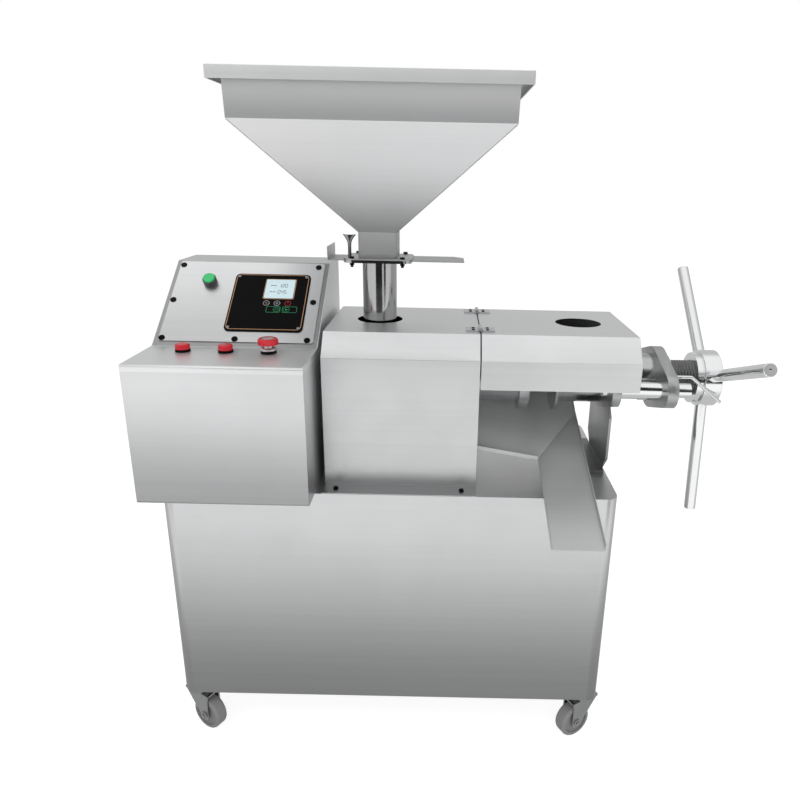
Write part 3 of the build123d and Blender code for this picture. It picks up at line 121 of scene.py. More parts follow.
class PressSizes(bpy.types.PropertyGroup):
    """Sizes of the small pieces that dress the press."""

    panel_screw: length_value("Panel screw", "Radius of a panel screw's domed head", 6.2)
    panel_screw_height: length_value("Panel screw height", "Height of that head", 3.2)
    small_screw: length_value("Small screw", "Radius of a small pan head", 3.4)
    small_screw_height: length_value("Small screw height", "Height of that head", 1.8)
    cover_screw: length_value("Cover screw", "Radius of a cap head on a cover's foot", 5.0)
    cover_screw_height: length_value("Cover screw height", "Height of that cap head", 4.0)
    print_lift: length_value("Print lift", "Height of a printed line over its plate", 0.12)
    frame_line: length_value("Frame line", "Width of the line round the display", 1.3)
    key_line: length_value("Key line", "Width of a key's printed ring", 0.7)
    key_radius: length_value("Key radius", "Radius of a round key", 6.4)
    digit_height: length_value("Digit height", "Height of a figure in the window", 9.0)
    weld_bead: length_value("Weld bead", "Radius of a hopper weld", 1.5)
    thread_pitch: length_value("Thread pitch", "Pitch of the adjusting screw", 6.0)
    thread_depth: length_value("Thread depth", "Depth of the adjusting screw's thread", 2.4)
    collar_ring: length_value("Collar ring", "Height of the bright ring on the stop's collar", 5.0)
    dish: length_value("Dish", "Radius of the disc in the stop button's top", 12.8)
    hood_reach: length_value("Hood reach", "How far a louvre's hood stands out", 6.0)
    wing_stem: length_value("Wing stem", "Radius of the wing screw's stem", 3.4)
    wing_half: length_value("Wing half", "Half the width across the wing screw's wings", 13.0)
    sheet_edge: length_value("Sheet edge", "Rounding of a folded sheet's edge", 0.9)
    part_edge: length_value("Part edge", "Rounding of a machined edge", 0.5)
    spokes: IntProperty(name="Spokes", description="Steps around a small round piece", default=28, min=8)


class PressColours(bpy.types.PropertyGroup):
    """Colours of the press's finishes."""

    # Light and dark steel are the two ends of the sheets' painted shade
    steel_light: colour_value("Light steel", "Brushed sheet where it is lightest", 0.72, 0.725, 0.73)
    steel_dark: colour_value("Dark steel", "Brushed sheet low on a panel", 0.12, 0.122, 0.125)
    polish: colour_value("Polished steel", "Turned and polished bars", 0.86, 0.865, 0.87)
    machined: colour_value("Machined steel", "Barrels and plates", 0.50, 0.504, 0.508)
    zinc: colour_value("Zinc", "Plated casters and screws", 0.42, 0.425, 0.43)
    black_oxide: colour_value("Black oxide", "Blackened screws", 0.012, 0.012, 0.013)
    rubber: colour_value("Rubber", "Tyres and belts", 0.24, 0.24, 0.245)
    grey_paint: colour_value("Grey paint", "Painted castings", 0.16, 0.19, 0.21)
    black_plastic: colour_value("Black plastic", "Lamp bases and the display plate", 0.008, 0.008, 0.009)
    grey_plastic: colour_value("Grey plastic", "Disc in the stop button", 0.42, 0.42, 0.43)
    red_plastic: colour_value("Red plastic", "Lamps and the stop button", 0.60, 0.010, 0.024)
    green_plastic: colour_value("Green plastic", "Start button", 0.03, 0.55, 0.17)
    window: colour_value("Window", "Lit display window", 0.50, 0.64, 0.68)
    figure: colour_value("Figure", "Figures in the window", 0.045, 0.055, 0.07)
    copper_print: colour_value("Copper print", "Line round the display", 0.50, 0.27, 0.13)
    white_print: colour_value("White print", "Key rings", 0.60, 0.60, 0.60)
    green_print: colour_value("Green print", "Run keys", 0.03, 0.32, 0.13)
    red_print: colour_value("Red print", "Stop key", 0.60, 0.03, 0.03)


class PressStage(bpy.types.PropertyGroup):
    """Camera, lamps and floor."""

    camera_x: place_value("Camera X", "Place of the camera", -0.0025)
    camera_y: place_value("Camera Y", "Place of the camera", -1.3625)
    camera_z: place_value("Camera Z", "Height of the camera", 1.180)
    pitch: angle_value("Pitch", "How far the camera looks down", 18.24)
    roll: angle_value("Roll", "How far the camera leans", 1.2)
    lens: FloatProperty(name="Lens", description="Focal length in millimetres", default=30.375, min=1.0)
    shift_x: FloatProperty(name="Shift X", description="Sideways lens shift", default=-0.05625)
    shift_y: FloatProperty(name="Shift Y", description="Upward lens shift", default=-0.0025)
    lamp: power_value("Key lamp", "Power of the key lamp in watts", 15.0)
    fill: power_value("Fill lamp", "Power of the fill and back lamps in watts", 6.0)
    front: power_value("Front lamp", "Power of the front lamp in watts", 10.0)
    room: share_value("Room light", "Strength of the room's light", 0.55)
    shadow: share_value("Shadow depth", "How far the floor darkens under the press", 0.45)


def settings():
    """The sizes, colours and stage values that the sidebar shows."""
    scene = bpy.context.scene
    return scene.oil_press_sizes, scene.oil_press_colours, scene.oil_press_stage


def palette():
    """The finishes' colours as arrays."""
    colours = settings()[1]
    names = PressColours.__annotations__
    return SimpleNamespace(**{name: np.array(getattr(colours, name)) for name in names})


# Places read from the frame


def node_points(node):
    """Every corner of a node's mesh as one array."""
    mesh = NODES[node].data
    points = np.empty(len(mesh.vertices) * 3, np.float32)
    mesh.vertices.foreach_get("co", points)
    return points.reshape(-1, 3).astype(float)


def reach(node, direction):
    """The lowest and highest reach of a node along a direction."""
    along = node_points(node) @ np.asarray(direction, float)
    return along.min(), along.max()


def joint_axis(name):
    """The direction of a joint in the row frame."""
    found = [joint for joint in frame["joints"] if joint["name"] == name]
    return np.array(found[0]["axis"], float)


def middle(node):
    """The middle of a node's box."""
    low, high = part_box(node)
    return (np.array(low) + np.array(high)) / 2


RIGHT = np.array((1.0, 0.0, 0.0))
BACK = np.array((0.0, 1.0, 0.0))
UP = np.array((0.0, 0.0, 1.0))
SLOPE_OUT = -joint_axis("start_button_press")
SLOPE_UP = np.cross(SLOPE_OUT, RIGHT)


def basis(out, across):
    """Rows of a local frame: across, up and out of a face."""
    out = np.asarray(out, float)
    across = np.asarray(across, float)
    return np.stack((across, np.cross(out, across), out))


SLOPE_FRAME = basis(SLOPE_OUT, RIGHT)
TOP_FRAME = basis(UP, RIGHT)
REAR_FRAME = basis(BACK, -RIGHT)


def slope_origin(node):
    """The middle of a sloping plate's outer face."""
    height = reach(node, SLOPE_OUT)[1]
    centre = middle(node)
    return centre + SLOPE_OUT * (height - centre @ SLOPE_OUT)


def slope_size(node):
    """The width and height of a sloping plate on its own face."""
    return [high - low for low, high in (reach(node, RIGHT), reach(node, SLOPE_UP))]


def wall_foot(points, near=6 * MM):
    """The level at which the hopper's funnel meets its upright wall."""
    outer = points[points[:, 0] > points[:, 0].max() - near]
    return outer[:, 2].min()


def hopper_corners(points, level, near=1 * MM):
    """The (left, right) and (front, back) edges of the hopper at one level."""
    ring = points[np.abs(points[:, 2] - level) < near]
    return (ring[:, 0].min(), ring[:, 0].max()), (ring[:, 1].min(), ring[:, 1].max())


def cover_planes(node, near=0.1 * MM, skin=0.7 * MM):
    """A cover's middle and half length along x and y, its top, its slope's normal and reach, and a skin
    of about half its sheet."""
    points = node_points(node)
    low = points.min(axis=0)
    high = points.max(axis=0)
    upper = points[points[:, 2] > (low[2] + high[2]) / 2]
    flat = points[points[:, 2] > high[2] - near]
    front = upper[:, 1].min()
    back = upper[:, 1].max()
    half = (back - front) / 2
    shoulder = upper[upper[:, 1] < front + near][:, 2].max()
    fall = high[2] - shoulder
    run = half - np.ptp(flat[:, 1]) / 2
    slope = np.array((fall, run)) / np.hypot(fall, run)
    ends = ((low[0] + high[0]) / 2, (high[0] - low[0]) / 2)
    return (*ends, (front + back) / 2, half, high[2], *slope, slope @ (half, shoulder), skin)


def placed(grid, origin, turn):
    """A grid of local points carried into the row frame."""
    return grid @ turn + np.asarray(origin, float)


def on_slope(grids, origin):
    """Grids of local points carried onto the panel's slope."""
    return [placed(grid, origin, SLOPE_FRAME) for grid in grids]


def at_spots(grid, origin, turn, spots):
    """One copy of a grid at each (across, up) spot of a face."""
    spots = np.asarray(spots, float).reshape(-1, 2)
    places = np.concatenate((spots, np.zeros((len(spots), 1))), axis=1)
    return [placed(grid + place, origin, turn) for place in places]


# Surfaces on a grid of two parameters

MERGE = 1e-7
SHARP = radians(35)
DOME_RINGS = np.concatenate((np.linspace(0, 0.62, 9), np.linspace(0.7, 1, 4)))[::-1]


def grid_faces(rows, columns, start):
    """Four-sided faces of a grid whose columns close on themselves."""
    row, column = np.meshgrid(np.arange(rows - 1), np.arange(columns), indexing="ij")
    ahead = (column + 1) % columns
    corners = (row * columns + column, row * columns + ahead,
               (row + 1) * columns + ahead, (row + 1) * columns + column)
    return np.stack(corners, axis=-1).reshape(-1, 4) + start


def piece(name, grids, body, material):
    """One object made of closed grids, smooth except at sharp edges, riding on a body."""
    points = np.concatenate([grid.reshape(-1, 3) for grid in grids])
    starts = np.cumsum([0] + [len(grid) * len(grid[0]) for grid in grids])
    faces = np.concatenate([grid_faces(*grid.shape[:2], start) for grid, start in zip(grids, starts)])
    mesh = bpy.data.meshes.new(name)
    mesh.from_pydata(points.tolist(), [], faces.tolist())
    work = bmesh.new()
    work.from_mesh(mesh)
    bmesh.ops.remove_doubles(work, verts=work.verts, dist=MERGE)
    bmesh.ops.dissolve_degenerate(work, edges=work.edges, dist=MERGE)
    bmesh.ops.recalc_face_normals(work, faces=work.faces)
    work.to_mesh(mesh)
    work.free()
    mesh.shade_smooth()
    mesh.set_sharp_from_angle(angle=SHARP)
    mesh.materials.append(material)
    made = bpy.data.objects.new(name, mesh)
    bpy.context.scene.collection.objects.link(made)
    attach(made, body)
    return made


def round_angles(spokes):
    """Even steps once around, without the last."""
    return np.linspace(0, 2 * np.pi, spokes, endpoint=False)


def turned(profile, spokes):
    """A profile of (radius, height) pairs turned once about the out direction."""
    profile = np.asarray(profile, float)
    angle = round_angles(spokes)
    radius = profile[:, :1]
    height = np.repeat(profile[:, 1:], spokes, axis=1)
    return np.stack((radius * np.cos(angle), radius * np.sin(angle), height), axis=-1)


def domed_head(radius, height, spokes, recess=0.45, slot=0.16, slot_end=0.6, fade_end=1.6, seat=0.35):
    """A screw's dome, height (seat + (1 - seat) (1 - (r/R)^2)), with a cross sunk into its middle: the
    cross holds points whose smaller offset from its two arms is under the slot's half width."""
    share = DOME_RINGS[:, None]
    angle = round_angles(spokes)
    across = radius * share * np.cos(angle)
    up = radius * share * np.sin(angle)
    offset = np.minimum(np.abs(across), np.abs(up)) / (slot * radius)
    fade = np.clip(fade_end - offset, 0, 1) * (share < slot_end)
    lift = height * (seat + (1 - seat) * (1 - share ** 2)) - recess * height * fade
    skirt = np.stack((across[0], up[0], np.zeros(spokes)), axis=-1)
    dome = np.stack((across, up, lift), axis=-1)
    return np.concatenate((skirt[None], dome))


def hex_head(radius, height, chamfer_foot=0.8, chamfer_top=0.86):
    """A six-sided head with a chamfered top."""
    profile = [(radius, 0), (radius, chamfer_foot * height), (chamfer_top * radius, height), (0, height)]
    return turned(profile, 6)


def socket_head(radius, height, spokes):
    """A cap head with a round socket sunk in its top."""
    socket = 0.52 * radius
    profile = [
        (radius, 0), (radius, 0.82 * height), (0.88 * radius, height), (socket, height),
        (0.92 * socket, 0.45 * height), (0, 0.40 * height),
    ]
    return turned(profile, spokes)


def outline(width, height, corner, steps=6):
    """Points of a rounded rectangle: a quarter turn of the corner's radius about each corner's middle."""
    turn = np.linspace(0, np.pi / 2, steps)
    start = np.arange(4)[:, None] * np.pi / 2
    angle = (start + turn).ravel()
    side = np.repeat(np.array(((1, 1), (-1, 1), (-1, -1), (1, -1)), float), steps, axis=0)
    centre = side * np.array((width / 2 - corner, height / 2 - corner))
    return centre + corner * np.stack((np.cos(angle), np.sin(angle)), axis=-1)


def stacked(rings):
    """Flat rings of (across, up) points, each at its own level, as one grid."""
    return np.stack([np.column_stack((ring, np.full(len(ring), level))) for ring, level in rings])


def capped(ring, lift):
    """A flat ring raised by the lift and closed on top."""
    return stacked(((ring, 0), (ring, lift), (0 * ring, lift)))


def printed_frame(width, height, corner, line, lift):
    """A flat line round a rounded rectangle: a low box section carried along the outline."""
    outer = outline(width, height, corner)
    inner = outline(width - 2 * line, height - 2 * line, max(corner - line, 0.1 * line))
    return stacked(((outer, 0), (outer, lift), (inner, lift), (inner, 0), (outer, 0)))


def printed_ring(radius, line, lift, spokes=32):
    """A flat ring: a low box section turned about its middle."""
    inner = radius - line
    return turned([(radius, 0), (radius, lift), (inner, lift), (inner, 0), (radius, 0)], spokes)


def printed_bar(width, height, lift, corner_share=0.3):
    """A flat bar with rounded corners and a closed top."""
    return capped(outline(width, height, corner_share * min(width, height), 3), lift)


def printed_wedge(size, lift):
    """A flat triangle that points right, closed on top."""
    angle = round_angles(3)
    return capped(size * np.stack((np.cos(angle), np.sin(angle)), axis=-1), lift)


def moved(grid, across, up):
    """A local grid shifted on its face."""
    return grid + np.array((across, up, 0.0))


SEGMENTS = {
    "0": "abcdef", "1": "bc", "2": "abged", "3": "abgcd", "4": "fgbc",
    "5": "afgcd", "6": "afgedc", "7": "abc", "8": "abcdefg", "9": "abcdfg",
}


def figure_bars(digit, height, lift):
    """The lit bars of a seven-bar figure: level bars at top, middle and foot, upright ones between."""
    wide = 0.5 * height
    bar = 0.13 * height
    level = printed_bar(wide - bar, bar, lift)
    upright = printed_bar(bar, height / 2 - bar, lift)
    places = {
        "a": (level, 0, height / 2), "g": (level, 0, 0), "d": (level, 0, -height / 2),
        "b": (upright, wide / 2, height / 4), "f": (upright, -wide / 2, height / 4),
        "c": (upright, wide / 2, -height / 4), "e": (upright, -wide / 2, -height / 4),
    }
    return [moved(*places[name]) for name in SEGMENTS[digit]]


def figure_rows(rows, height, lift):
    """Rows of figures, each with two short bars before it in place of a label."""
    step = 0.72 * height
    row_step = 1.9 * height
    label = printed_bar(0.9 * step, 0.18 * height, lift)
    grids = []
    for row, figures in enumerate(rows):
        up = (0.5 - row) * row_step
        for column, digit in enumerate(figures):
            grids += [moved(bar, (column - 0.1) * step, up) for bar in figure_bars(digit, height, lift)]
        grids += [moved(label, (column - 2.6) * step, up) for column in range(2)]
    return grids


def slope_sheet(lift, edge=1.2 * MM):
    """A thin skin over the housing's slope, from its ledge to its roof, that the panel plate lies on."""
    offset = reach("panel_plate", SLOPE_OUT)[0]
    left, right = reach("control_housing", RIGHT)
    levels = (reach("estop_collar", UP)[0], reach("control_housing", UP)[1])
    ends = [(level - offset * SLOPE_OUT[2]) / SLOPE_UP[2] for level in levels]
    sheet = printed_bar(right - left - 2 * edge, ends[1] - ends[0] - 2 * edge, lift, 0.002)
    origin = RIGHT * (left + right) / 2 + SLOPE_UP * sum(ends) / 2 + SLOPE_OUT * offset
    return placed(sheet, origin, SLOPE_FRAME)


def hood(length, height, out, thick, steps=8, rows=25):
    """A louvre's hood: a quarter-ellipse shell carried along its length, its height and reach scaled by
    the square root of 1 - s^8, where s runs from -1 to 1, so that both ends close."""
    s = np.linspace(-1, 1, rows)
    swell = np.sqrt(np.clip(1 - s ** 8, 0, 1))
    angle = np.linspace(0, np.pi / 2, steps)
    outer = np.stack((height * np.cos(angle), out * np.sin(angle)), axis=-1)
    inner = np.stack(((height - thick) * np.cos(angle), (out - thick) * np.sin(angle)), axis=-1)
    loop = np.concatenate((outer, inner[::-1]))
    along = np.repeat((s * length / 2)[:, None], len(loop), axis=1)
    section = swell[:, None, None] * loop[None]
    return np.concatenate((along[:, :, None], section), axis=-1)


def bead(start, end, radius, ripples, spokes=10):
    """A weld bead between two points: a circle carried along the line, its radius times
    0.82 + 0.18 |sin| so that it shows overlapping puddles, and drawn in to nothing at both ends."""
    start = np.asarray(start, float)
    end = np.asarray(end, float)
    run = (end - start) / np.linalg.norm(end - start)
    side = np.cross(run, UP if abs(run[2]) < 0.9 else BACK)
    side /= np.linalg.norm(side)
    other = np.cross(run, side)
    share = np.linspace(0, 1, 4 * ripples + 1)
    swell = radius * (0.82 + 0.18 * np.abs(np.sin(np.pi * ripples * share)))
    swell[[0, -1]] = 0
    angle = round_angles(spokes)
    ring = np.cos(angle)[:, None] * side + np.sin(angle)[:, None] * other
    line = start + share[:, None] * (end - start)
    return line[:, None, :] + swell[:, None, None] * ring[None]


def corner_beads(rings, levels, inset, radius, ripples):
    """Four weld beads that join the corners of two rectangles at two levels."""
    beads = []
    for sx in (0, 1):
        for sy in (0, 1):
            ends = [
                (wide[sx] + (1 - 2 * sx) * inset, deep[sy] + (1 - 2 * sy) * inset, level)
                for (wide, deep), level in zip(rings, levels)
            ]
            beads.append(bead(*ends, radius, ripples))
    return beads


def threaded_rod(length, radius, pitch, depth, spokes=32, rows_per_turn=8, steep=1.3, crest=0.15):
    """A threaded rod: radius less depth times a clipped triangle wave of height over pitch plus the
    turn's share, so that crests and roots are flat."""
    rows = int(length / pitch * rows_per_turn)
    height = np.linspace(0, length, rows)[:, None]
    angle = round_angles(spokes)[None]
    phase = (height / pitch + angle / (2 * np.pi)) % 1
    wave = np.clip(np.abs(2 * phase - 1) * steep - crest, 0, 1)
    r = radius - depth * wave
    wall = np.stack((r * np.cos(angle), r * np.sin(angle), height + 0 * angle), axis=-1)
    ends = [np.broadcast_to((0.0, 0.0, level), (1, spokes, 3)) for level in (0.0, length)]
    return np.concatenate((ends[0], wall, ends[1]))


def winged_stem(height, stem, half, spokes=48):
    """A stem that flares into two wings: turned rings squeezed to a thin oval near the top, whose rim
    rises by the square of the offset along the wings so that it dips between them."""
    share = np.array((0.0, 0.0, 0.55, 0.66, 0.76, 0.86, 0.94, 0.97, 0.95, 0.90))
    wide = np.array((0.0, 1.0, 1.0, 1.1, 1.6, 2.5, 3.5, 3.6, 3.2, 0.0)) * stem
    wide *= half / wide.max()
    wide[1:3] = stem
    deep = np.minimum(wide, 1.25 * stem)
    angle = round_angles(spokes)
    across = wide[:, None] * np.cos(angle)
    rise = 0.03 * height * (across / half) ** 2
    return np.stack((across, deep[:, None] * np.sin(angle), height * share[:, None] + rise), axis=-1)


# Shader groups and finishes

ALONG_X = (5.0, 800.0, 800.0)
ALONG_Z = (800.0, 800.0, 5.0)
ROUND_X = (1500.0, 6.0, 6.0)
ALL_ROUND = (300.0, 300.0, 300.0)
BUMP_DEPTH = 0.2 * MM
CROWN_STEP = 1 * MM
METAL_SPREAD = (-0.05, 0.12)
MOULDING_SPREAD = (-0.06, 0.14)
MOULDING_MARKS = 28.0
MOTTLE = (0.86, 1.08)
JOINED_WITHIN = 0.01 * MM
ROUNDED_FROM = radians(40)
ROUND_STEPS = 2
MIX_FIRST = 6
MIX_SECOND = 7
MIX_RESULT = 2
COVER_SIZES = (
    "Middle X", "Half X", "Middle Y", "Half Y", "Top", "Slope Y", "Slope Z", "Slope Reach", "Skin",
)


def add(tree, kind, inputs=None, **values):
    """A shader node with its settings, and its inputs set or linked."""
    node = tree.nodes.new(kind)
    for key, value in values.items():
        setattr(node, key, value)
    for key, value in (inputs or {}).items():
        if isinstance(value, bpy.types.NodeSocket):
            tree.links.new(value, node.inputs[key])
        else:
            node.inputs[key].default_value = value
    return node


def math_node(tree, operation, first, second=0.0):
    """The result of one sum on two values."""
    return add(tree, "ShaderNodeMath", {0: first, 1: second}, operation=operation).outputs[0]


def mixed(tree, factor, first, second):
    """One colour faded into another, through the sockets that the mix keeps for colours."""
    inputs = {"Factor": factor, MIX_FIRST: first, MIX_SECOND: second}
    return add(tree, "ShaderNodeMix", inputs, data_type="RGBA").outputs[MIX_RESULT]


def stepped(tree, value, start, end, low, high, kind="SMOOTHSTEP"):
    """A value carried from one level to another between two bounds."""
    bounds = {"Value": value, "From Min": start, "From Max": end, "To Min": low, "To Max": high}
    return add(tree, "ShaderNodeMapRange", bounds, interpolation_type=kind).outputs[0]


def ranged(tree, value, low, high):
    """A value between nothing and one carried evenly to a new range."""
    return stepped(tree, value, 0.0, 1.0, low, high, "LINEAR")


def noise(tree, place, scale, detail, distortion=0.0):
    """Soft noise at a place."""
    inputs = {"Vector": place, "Scale": scale, "Detail": detail, "Distortion": distortion}
    return add(tree, "ShaderNodeTexNoise", inputs).outputs[0]


def axes(tree, place):
    """The x, y and z of a place."""
    return add(tree, "ShaderNodeSeparateXYZ", {0: place}).outputs


def new_group(name, inputs, outputs):
    """An empty shader group that takes a place and other named values, and its two ends."""
    group = bpy.data.node_groups.new(name, "ShaderNodeTree")
    group.interface.new_socket("Vector", in_out="INPUT", socket_type="NodeSocketVector")
    for label, value in inputs.items():
        kind = "NodeSocketVector" if isinstance(value, tuple) else "NodeSocketFloat"
        group.interface.new_socket(label, in_out="INPUT", socket_type=kind).default_value = value
    for label in outputs:
        group.interface.new_socket(label, in_out="OUTPUT", socket_type="NodeSocketFloat")
    return group, group.nodes.new("NodeGroupInput").outputs, group.nodes.new("NodeGroupOutput").inputs


def brushed_group():
    """Brush lines: noise drawn out along one direction, as a shade and a height."""
    group, given, result = new_group("brush_lines", {"Stretch": ALONG_X}, ("Shade", "Height"))
    both_ways = {0: given["Vector"], 1: given["Stretch"]}
    drawn = add(group, "ShaderNodeVectorMath", both_ways, operation="MULTIPLY").outputs[0]
    fine = noise(group, drawn, 1.0, 3.0)
    broad = noise(group, drawn, 0.12, 2.0)
    both = math_node(group, "ADD", fine, broad)
    group.links.new(math_node(group, "MULTIPLY", both, 0.5), result["Shade"])
    group.links.new(fine, result["Height"])
    return group


def handling_group():
    """Handling marks: soft clouds with a few finer smears on them."""
    group, given, result = new_group("handling_marks", {"Scale": 9.0}, ("Mask",))
    cloud = noise(group, given["Vector"], given["Scale"], 4.0)
    smear = noise(group, given["Vector"], math_node(group, "MULTIPLY", given["Scale"], 7.0), 5.0, 1.2)
    both = math_node(group, "MULTIPLY", cloud, ranged(group, smear, 0.6, 1.4))
    group.links.new(both, result["Mask"])
    return group


def grade_group():
    """A panel's grade: nothing at its foot and one at its head, by height. On the sheets it sets their
    painted shade.
    """
    group, given, result = new_group("panel_grade", {"Foot": 0.0, "Head": 1.0}, ("Mask",))
    height = axes(group, given["Vector"])[2]
    group.links.new(stepped(group, height, given["Foot"], given["Head"], 0.0, 1.0), result["Mask"])
    return group


def grain_group():
    """Fine grain: small even speckle, as a shade and a height."""
    group, given, result = new_group("fine_grain", {"Scale": 900.0}, ("Shade", "Height"))
    speck = noise(group, given["Vector"], given["Scale"], 2.0)
    cell = add(group, "ShaderNodeTexVoronoi", {"Vector": given["Vector"], "Scale": given["Scale"]})
    group.links.new(speck, result["Shade"])
    group.links.new(math_node(group, "ADD", speck, cell.outputs[0]), result["Height"])
    return group


def inner_group():
    """A folded cover's inner side: one where a point lies more than the skin under the ends, the walls,
    the top and the slopes, each depth being a plane's reach less the point's own reach along its normal.
    It marks where painted shade darkens the cover's hollow."""
    group, given, result = new_group("inner_side", dict.fromkeys(COVER_SIZES, 0.0), ("Mask",))
    x, y, z = axes(group, given["Vector"])
    along = math_node(group, "ABSOLUTE", math_node(group, "SUBTRACT", x, given["Middle X"]))
    across = math_node(group, "ABSOLUTE", math_node(group, "SUBTRACT", y, given["Middle Y"]))
    flat = math_node(group, "MULTIPLY", across, given["Slope Y"])
    tall = math_node(group, "MULTIPLY", z, given["Slope Z"])
    depth = math_node(group, "SUBTRACT", given["Slope Reach"], math_node(group, "ADD", flat, tall))
    for plane, point in (("Half X", along), ("Half Y", across), ("Top", z)):
        depth = math_node(group, "MINIMUM", depth, math_node(group, "SUBTRACT", given[plane], point))
    group.links.new(math_node(group, "GREATER_THAN", depth, given["Skin"]), result["Mask"])
    return group


GROUP_MAKERS = {
    "brush_lines": brushed_group, "handling_marks": handling_group,
    "panel_grade": grade_group, "fine_grain": grain_group, "inner_side": inner_group,
}


def use_group(tree, name, inputs):
    """A shared group placed in a material, made at its first use."""
    group = bpy.data.node_groups.get(name) or GROUP_MAKERS[name]()
    return add(tree, "ShaderNodeGroup", inputs, node_tree=group).outputs


def graded(tree, place, foot, head):
    """The panel's grade between two levels."""
    return use_group(tree, "panel_grade", {"Vector": place, "Foot": foot, "Head": head})["Mask"]


def start_finish(name):
    """A new material, its tree, its shader and its object coordinates."""
    material = bpy.data.materials.new(name)
    material.use_nodes = True
    tree = material.node_tree
    place = add(tree, "ShaderNodeTexCoord").outputs["Object"]
    return material, tree, tree.nodes["Principled BSDF"], place


def opaque(colour, share=1.0):
    """A colour with full cover, scaled by a share."""
    return (colour[0] * share, colour[1] * share, colour[2] * share, 1.0)


def bump_into(tree, shader, height, strength):
    """A height turned into the shader's normal."""
    bump = add(tree, "ShaderNodeBump", {"Height": height, "Strength": strength, "Distance": BUMP_DEPTH})
    tree.links.new(bump.outputs[0], shader.inputs["Normal"])


def roughen(tree, shader, handled, rough, spread):
    """The shader's roughness, spread to both sides by handling marks."""
    ends = [rough + step for step in spread]
    tree.links.new(ranged(tree, handled, *ends), shader.inputs["Roughness"])


def metal_finish(
    name, foot_colour, head_colour, foot, head, stretch, rough,
    marks=9.0, lines=0.10, depth=0.12, crown=None, metal=1.0, inner=None,
):
    """Metal graded from foot to head, with brush lines and handling marks, other shades over a crown's
    level and one shade on a cover's inner side. A grade between a darker and a lighter copy of one metal,
    and the crown's shades, are painted shade. The inner side's shade is painted shade in the cover's
    hollow.
    A grade between two metals, as on the stop's collar, is two-tone."""
    material, tree, shader, place = start_finish(name)
    grade = graded(tree, place, foot, head)
    brushed = use_group(tree, "brush_lines", {"Vector": place, "Stretch": stretch})
    handled = use_group(tree, "handling_marks", {"Vector": place, "Scale": marks})["Mask"]
    # Painted shade by height where foot and head are copies of one metal; two tones on the stop's collar
    base = mixed(tree, grade, opaque(foot_colour), opaque(head_colour))
    darker = mixed(tree, grade, opaque(foot_colour, 1 - 2 * lines), opaque(head_colour, 1 - lines))
    colour = mixed(tree, brushed["Shade"], darker, base)
    # The crown's shades are painted shade over its level
    if crown:
        level, top, low_shade, high_shade = crown
        above = graded(tree, place, level, level + CROWN_STEP)
        rising = graded(tree, place, level, top)
        colour = mixed(tree, above, colour, mixed(tree, rising, opaque(low_shade), opaque(high_shade)))
    # Painted shade on a cover's inner side, where its hollow lies in shade
    if inner:
        planes, hollow_shade = inner
        within = use_group(tree, "inner_side", {"Vector": place, **dict(zip(COVER_SIZES, planes))})["Mask"]
        colour = mixed(tree, within, colour, opaque(hollow_shade))
    tree.links.new(colour, shader.inputs["Base Color"])
    roughen(tree, shader, handled, rough, METAL_SPREAD)
    shader.inputs["Metallic"].default_value = metal
    bump_into(tree, shader, brushed["Height"], depth)
    return material


def plain_metal(name, colour, *values):
    """Metal of one colour from the floor to the press's top."""
    return metal_finish(name, colour, colour, *LEVELS, *values)


def moulded_finish(name, colour, rough, coat=0.0, glow=0.0, grain=700.0, depth=0.06, shine=0.5):
    """Moulded plastic, rubber or paint: a mottled colour with fine grain and handling marks."""
    material, tree, shader, place = start_finish(name)
    speck = use_group(tree, "fine_grain", {"Vector": place, "Scale": grain})
    handled = use_group(tree, "handling_marks", {"Vector": place, "Scale": MOULDING_MARKS})["Mask"]
    mottled = mixed(tree, speck["Shade"], *(opaque(colour, share) for share in MOTTLE))
    tree.links.new(mottled, shader.inputs["Base Color"])
    roughen(tree, shader, handled, rough, MOULDING_SPREAD)
    shader.inputs["Coat Weight"].default_value = coat
    shader.inputs["Specular IOR Level"].default_value = shine
    if glow:
        tree.links.new(mottled, shader.inputs["Emission Color"])
        shader.inputs["Emission Strength"].default_value = glow
    bump_into(tree, shader, speck["Height"], depth)
    return material


def round_edges(node_object, width):
    """Joins a node's loose faces and rounds its sharp edges."""
    weld = node_object.modifiers.new("joined", "WELD")
    weld.merge_threshold = JOINED_WITHIN
    bevel = node_object.modifiers.new("rounded", "BEVEL")
    bevel.width = width
    bevel.segments = ROUND_STEPS
    bevel.limit_method = "ANGLE"
    bevel.angle_limit = ROUNDED_FROM
    bevel.harden_normals = True


def dress(nodes, material, edge=0.0):
    """One finish on several nodes, with rounded edges where a width is given."""
    for node in nodes:
        kept = NODES[node]
        kept.data.materials.clear()
        kept.data.materials.append(material)
        if edge:
            round_edges(kept, edge)


# Operators, one for each group of pieces


class PressOperator(bpy.types.Operator):
    """Shared settings of the press's operators"""

    bl_options = {"REGISTER", "UNDO"}


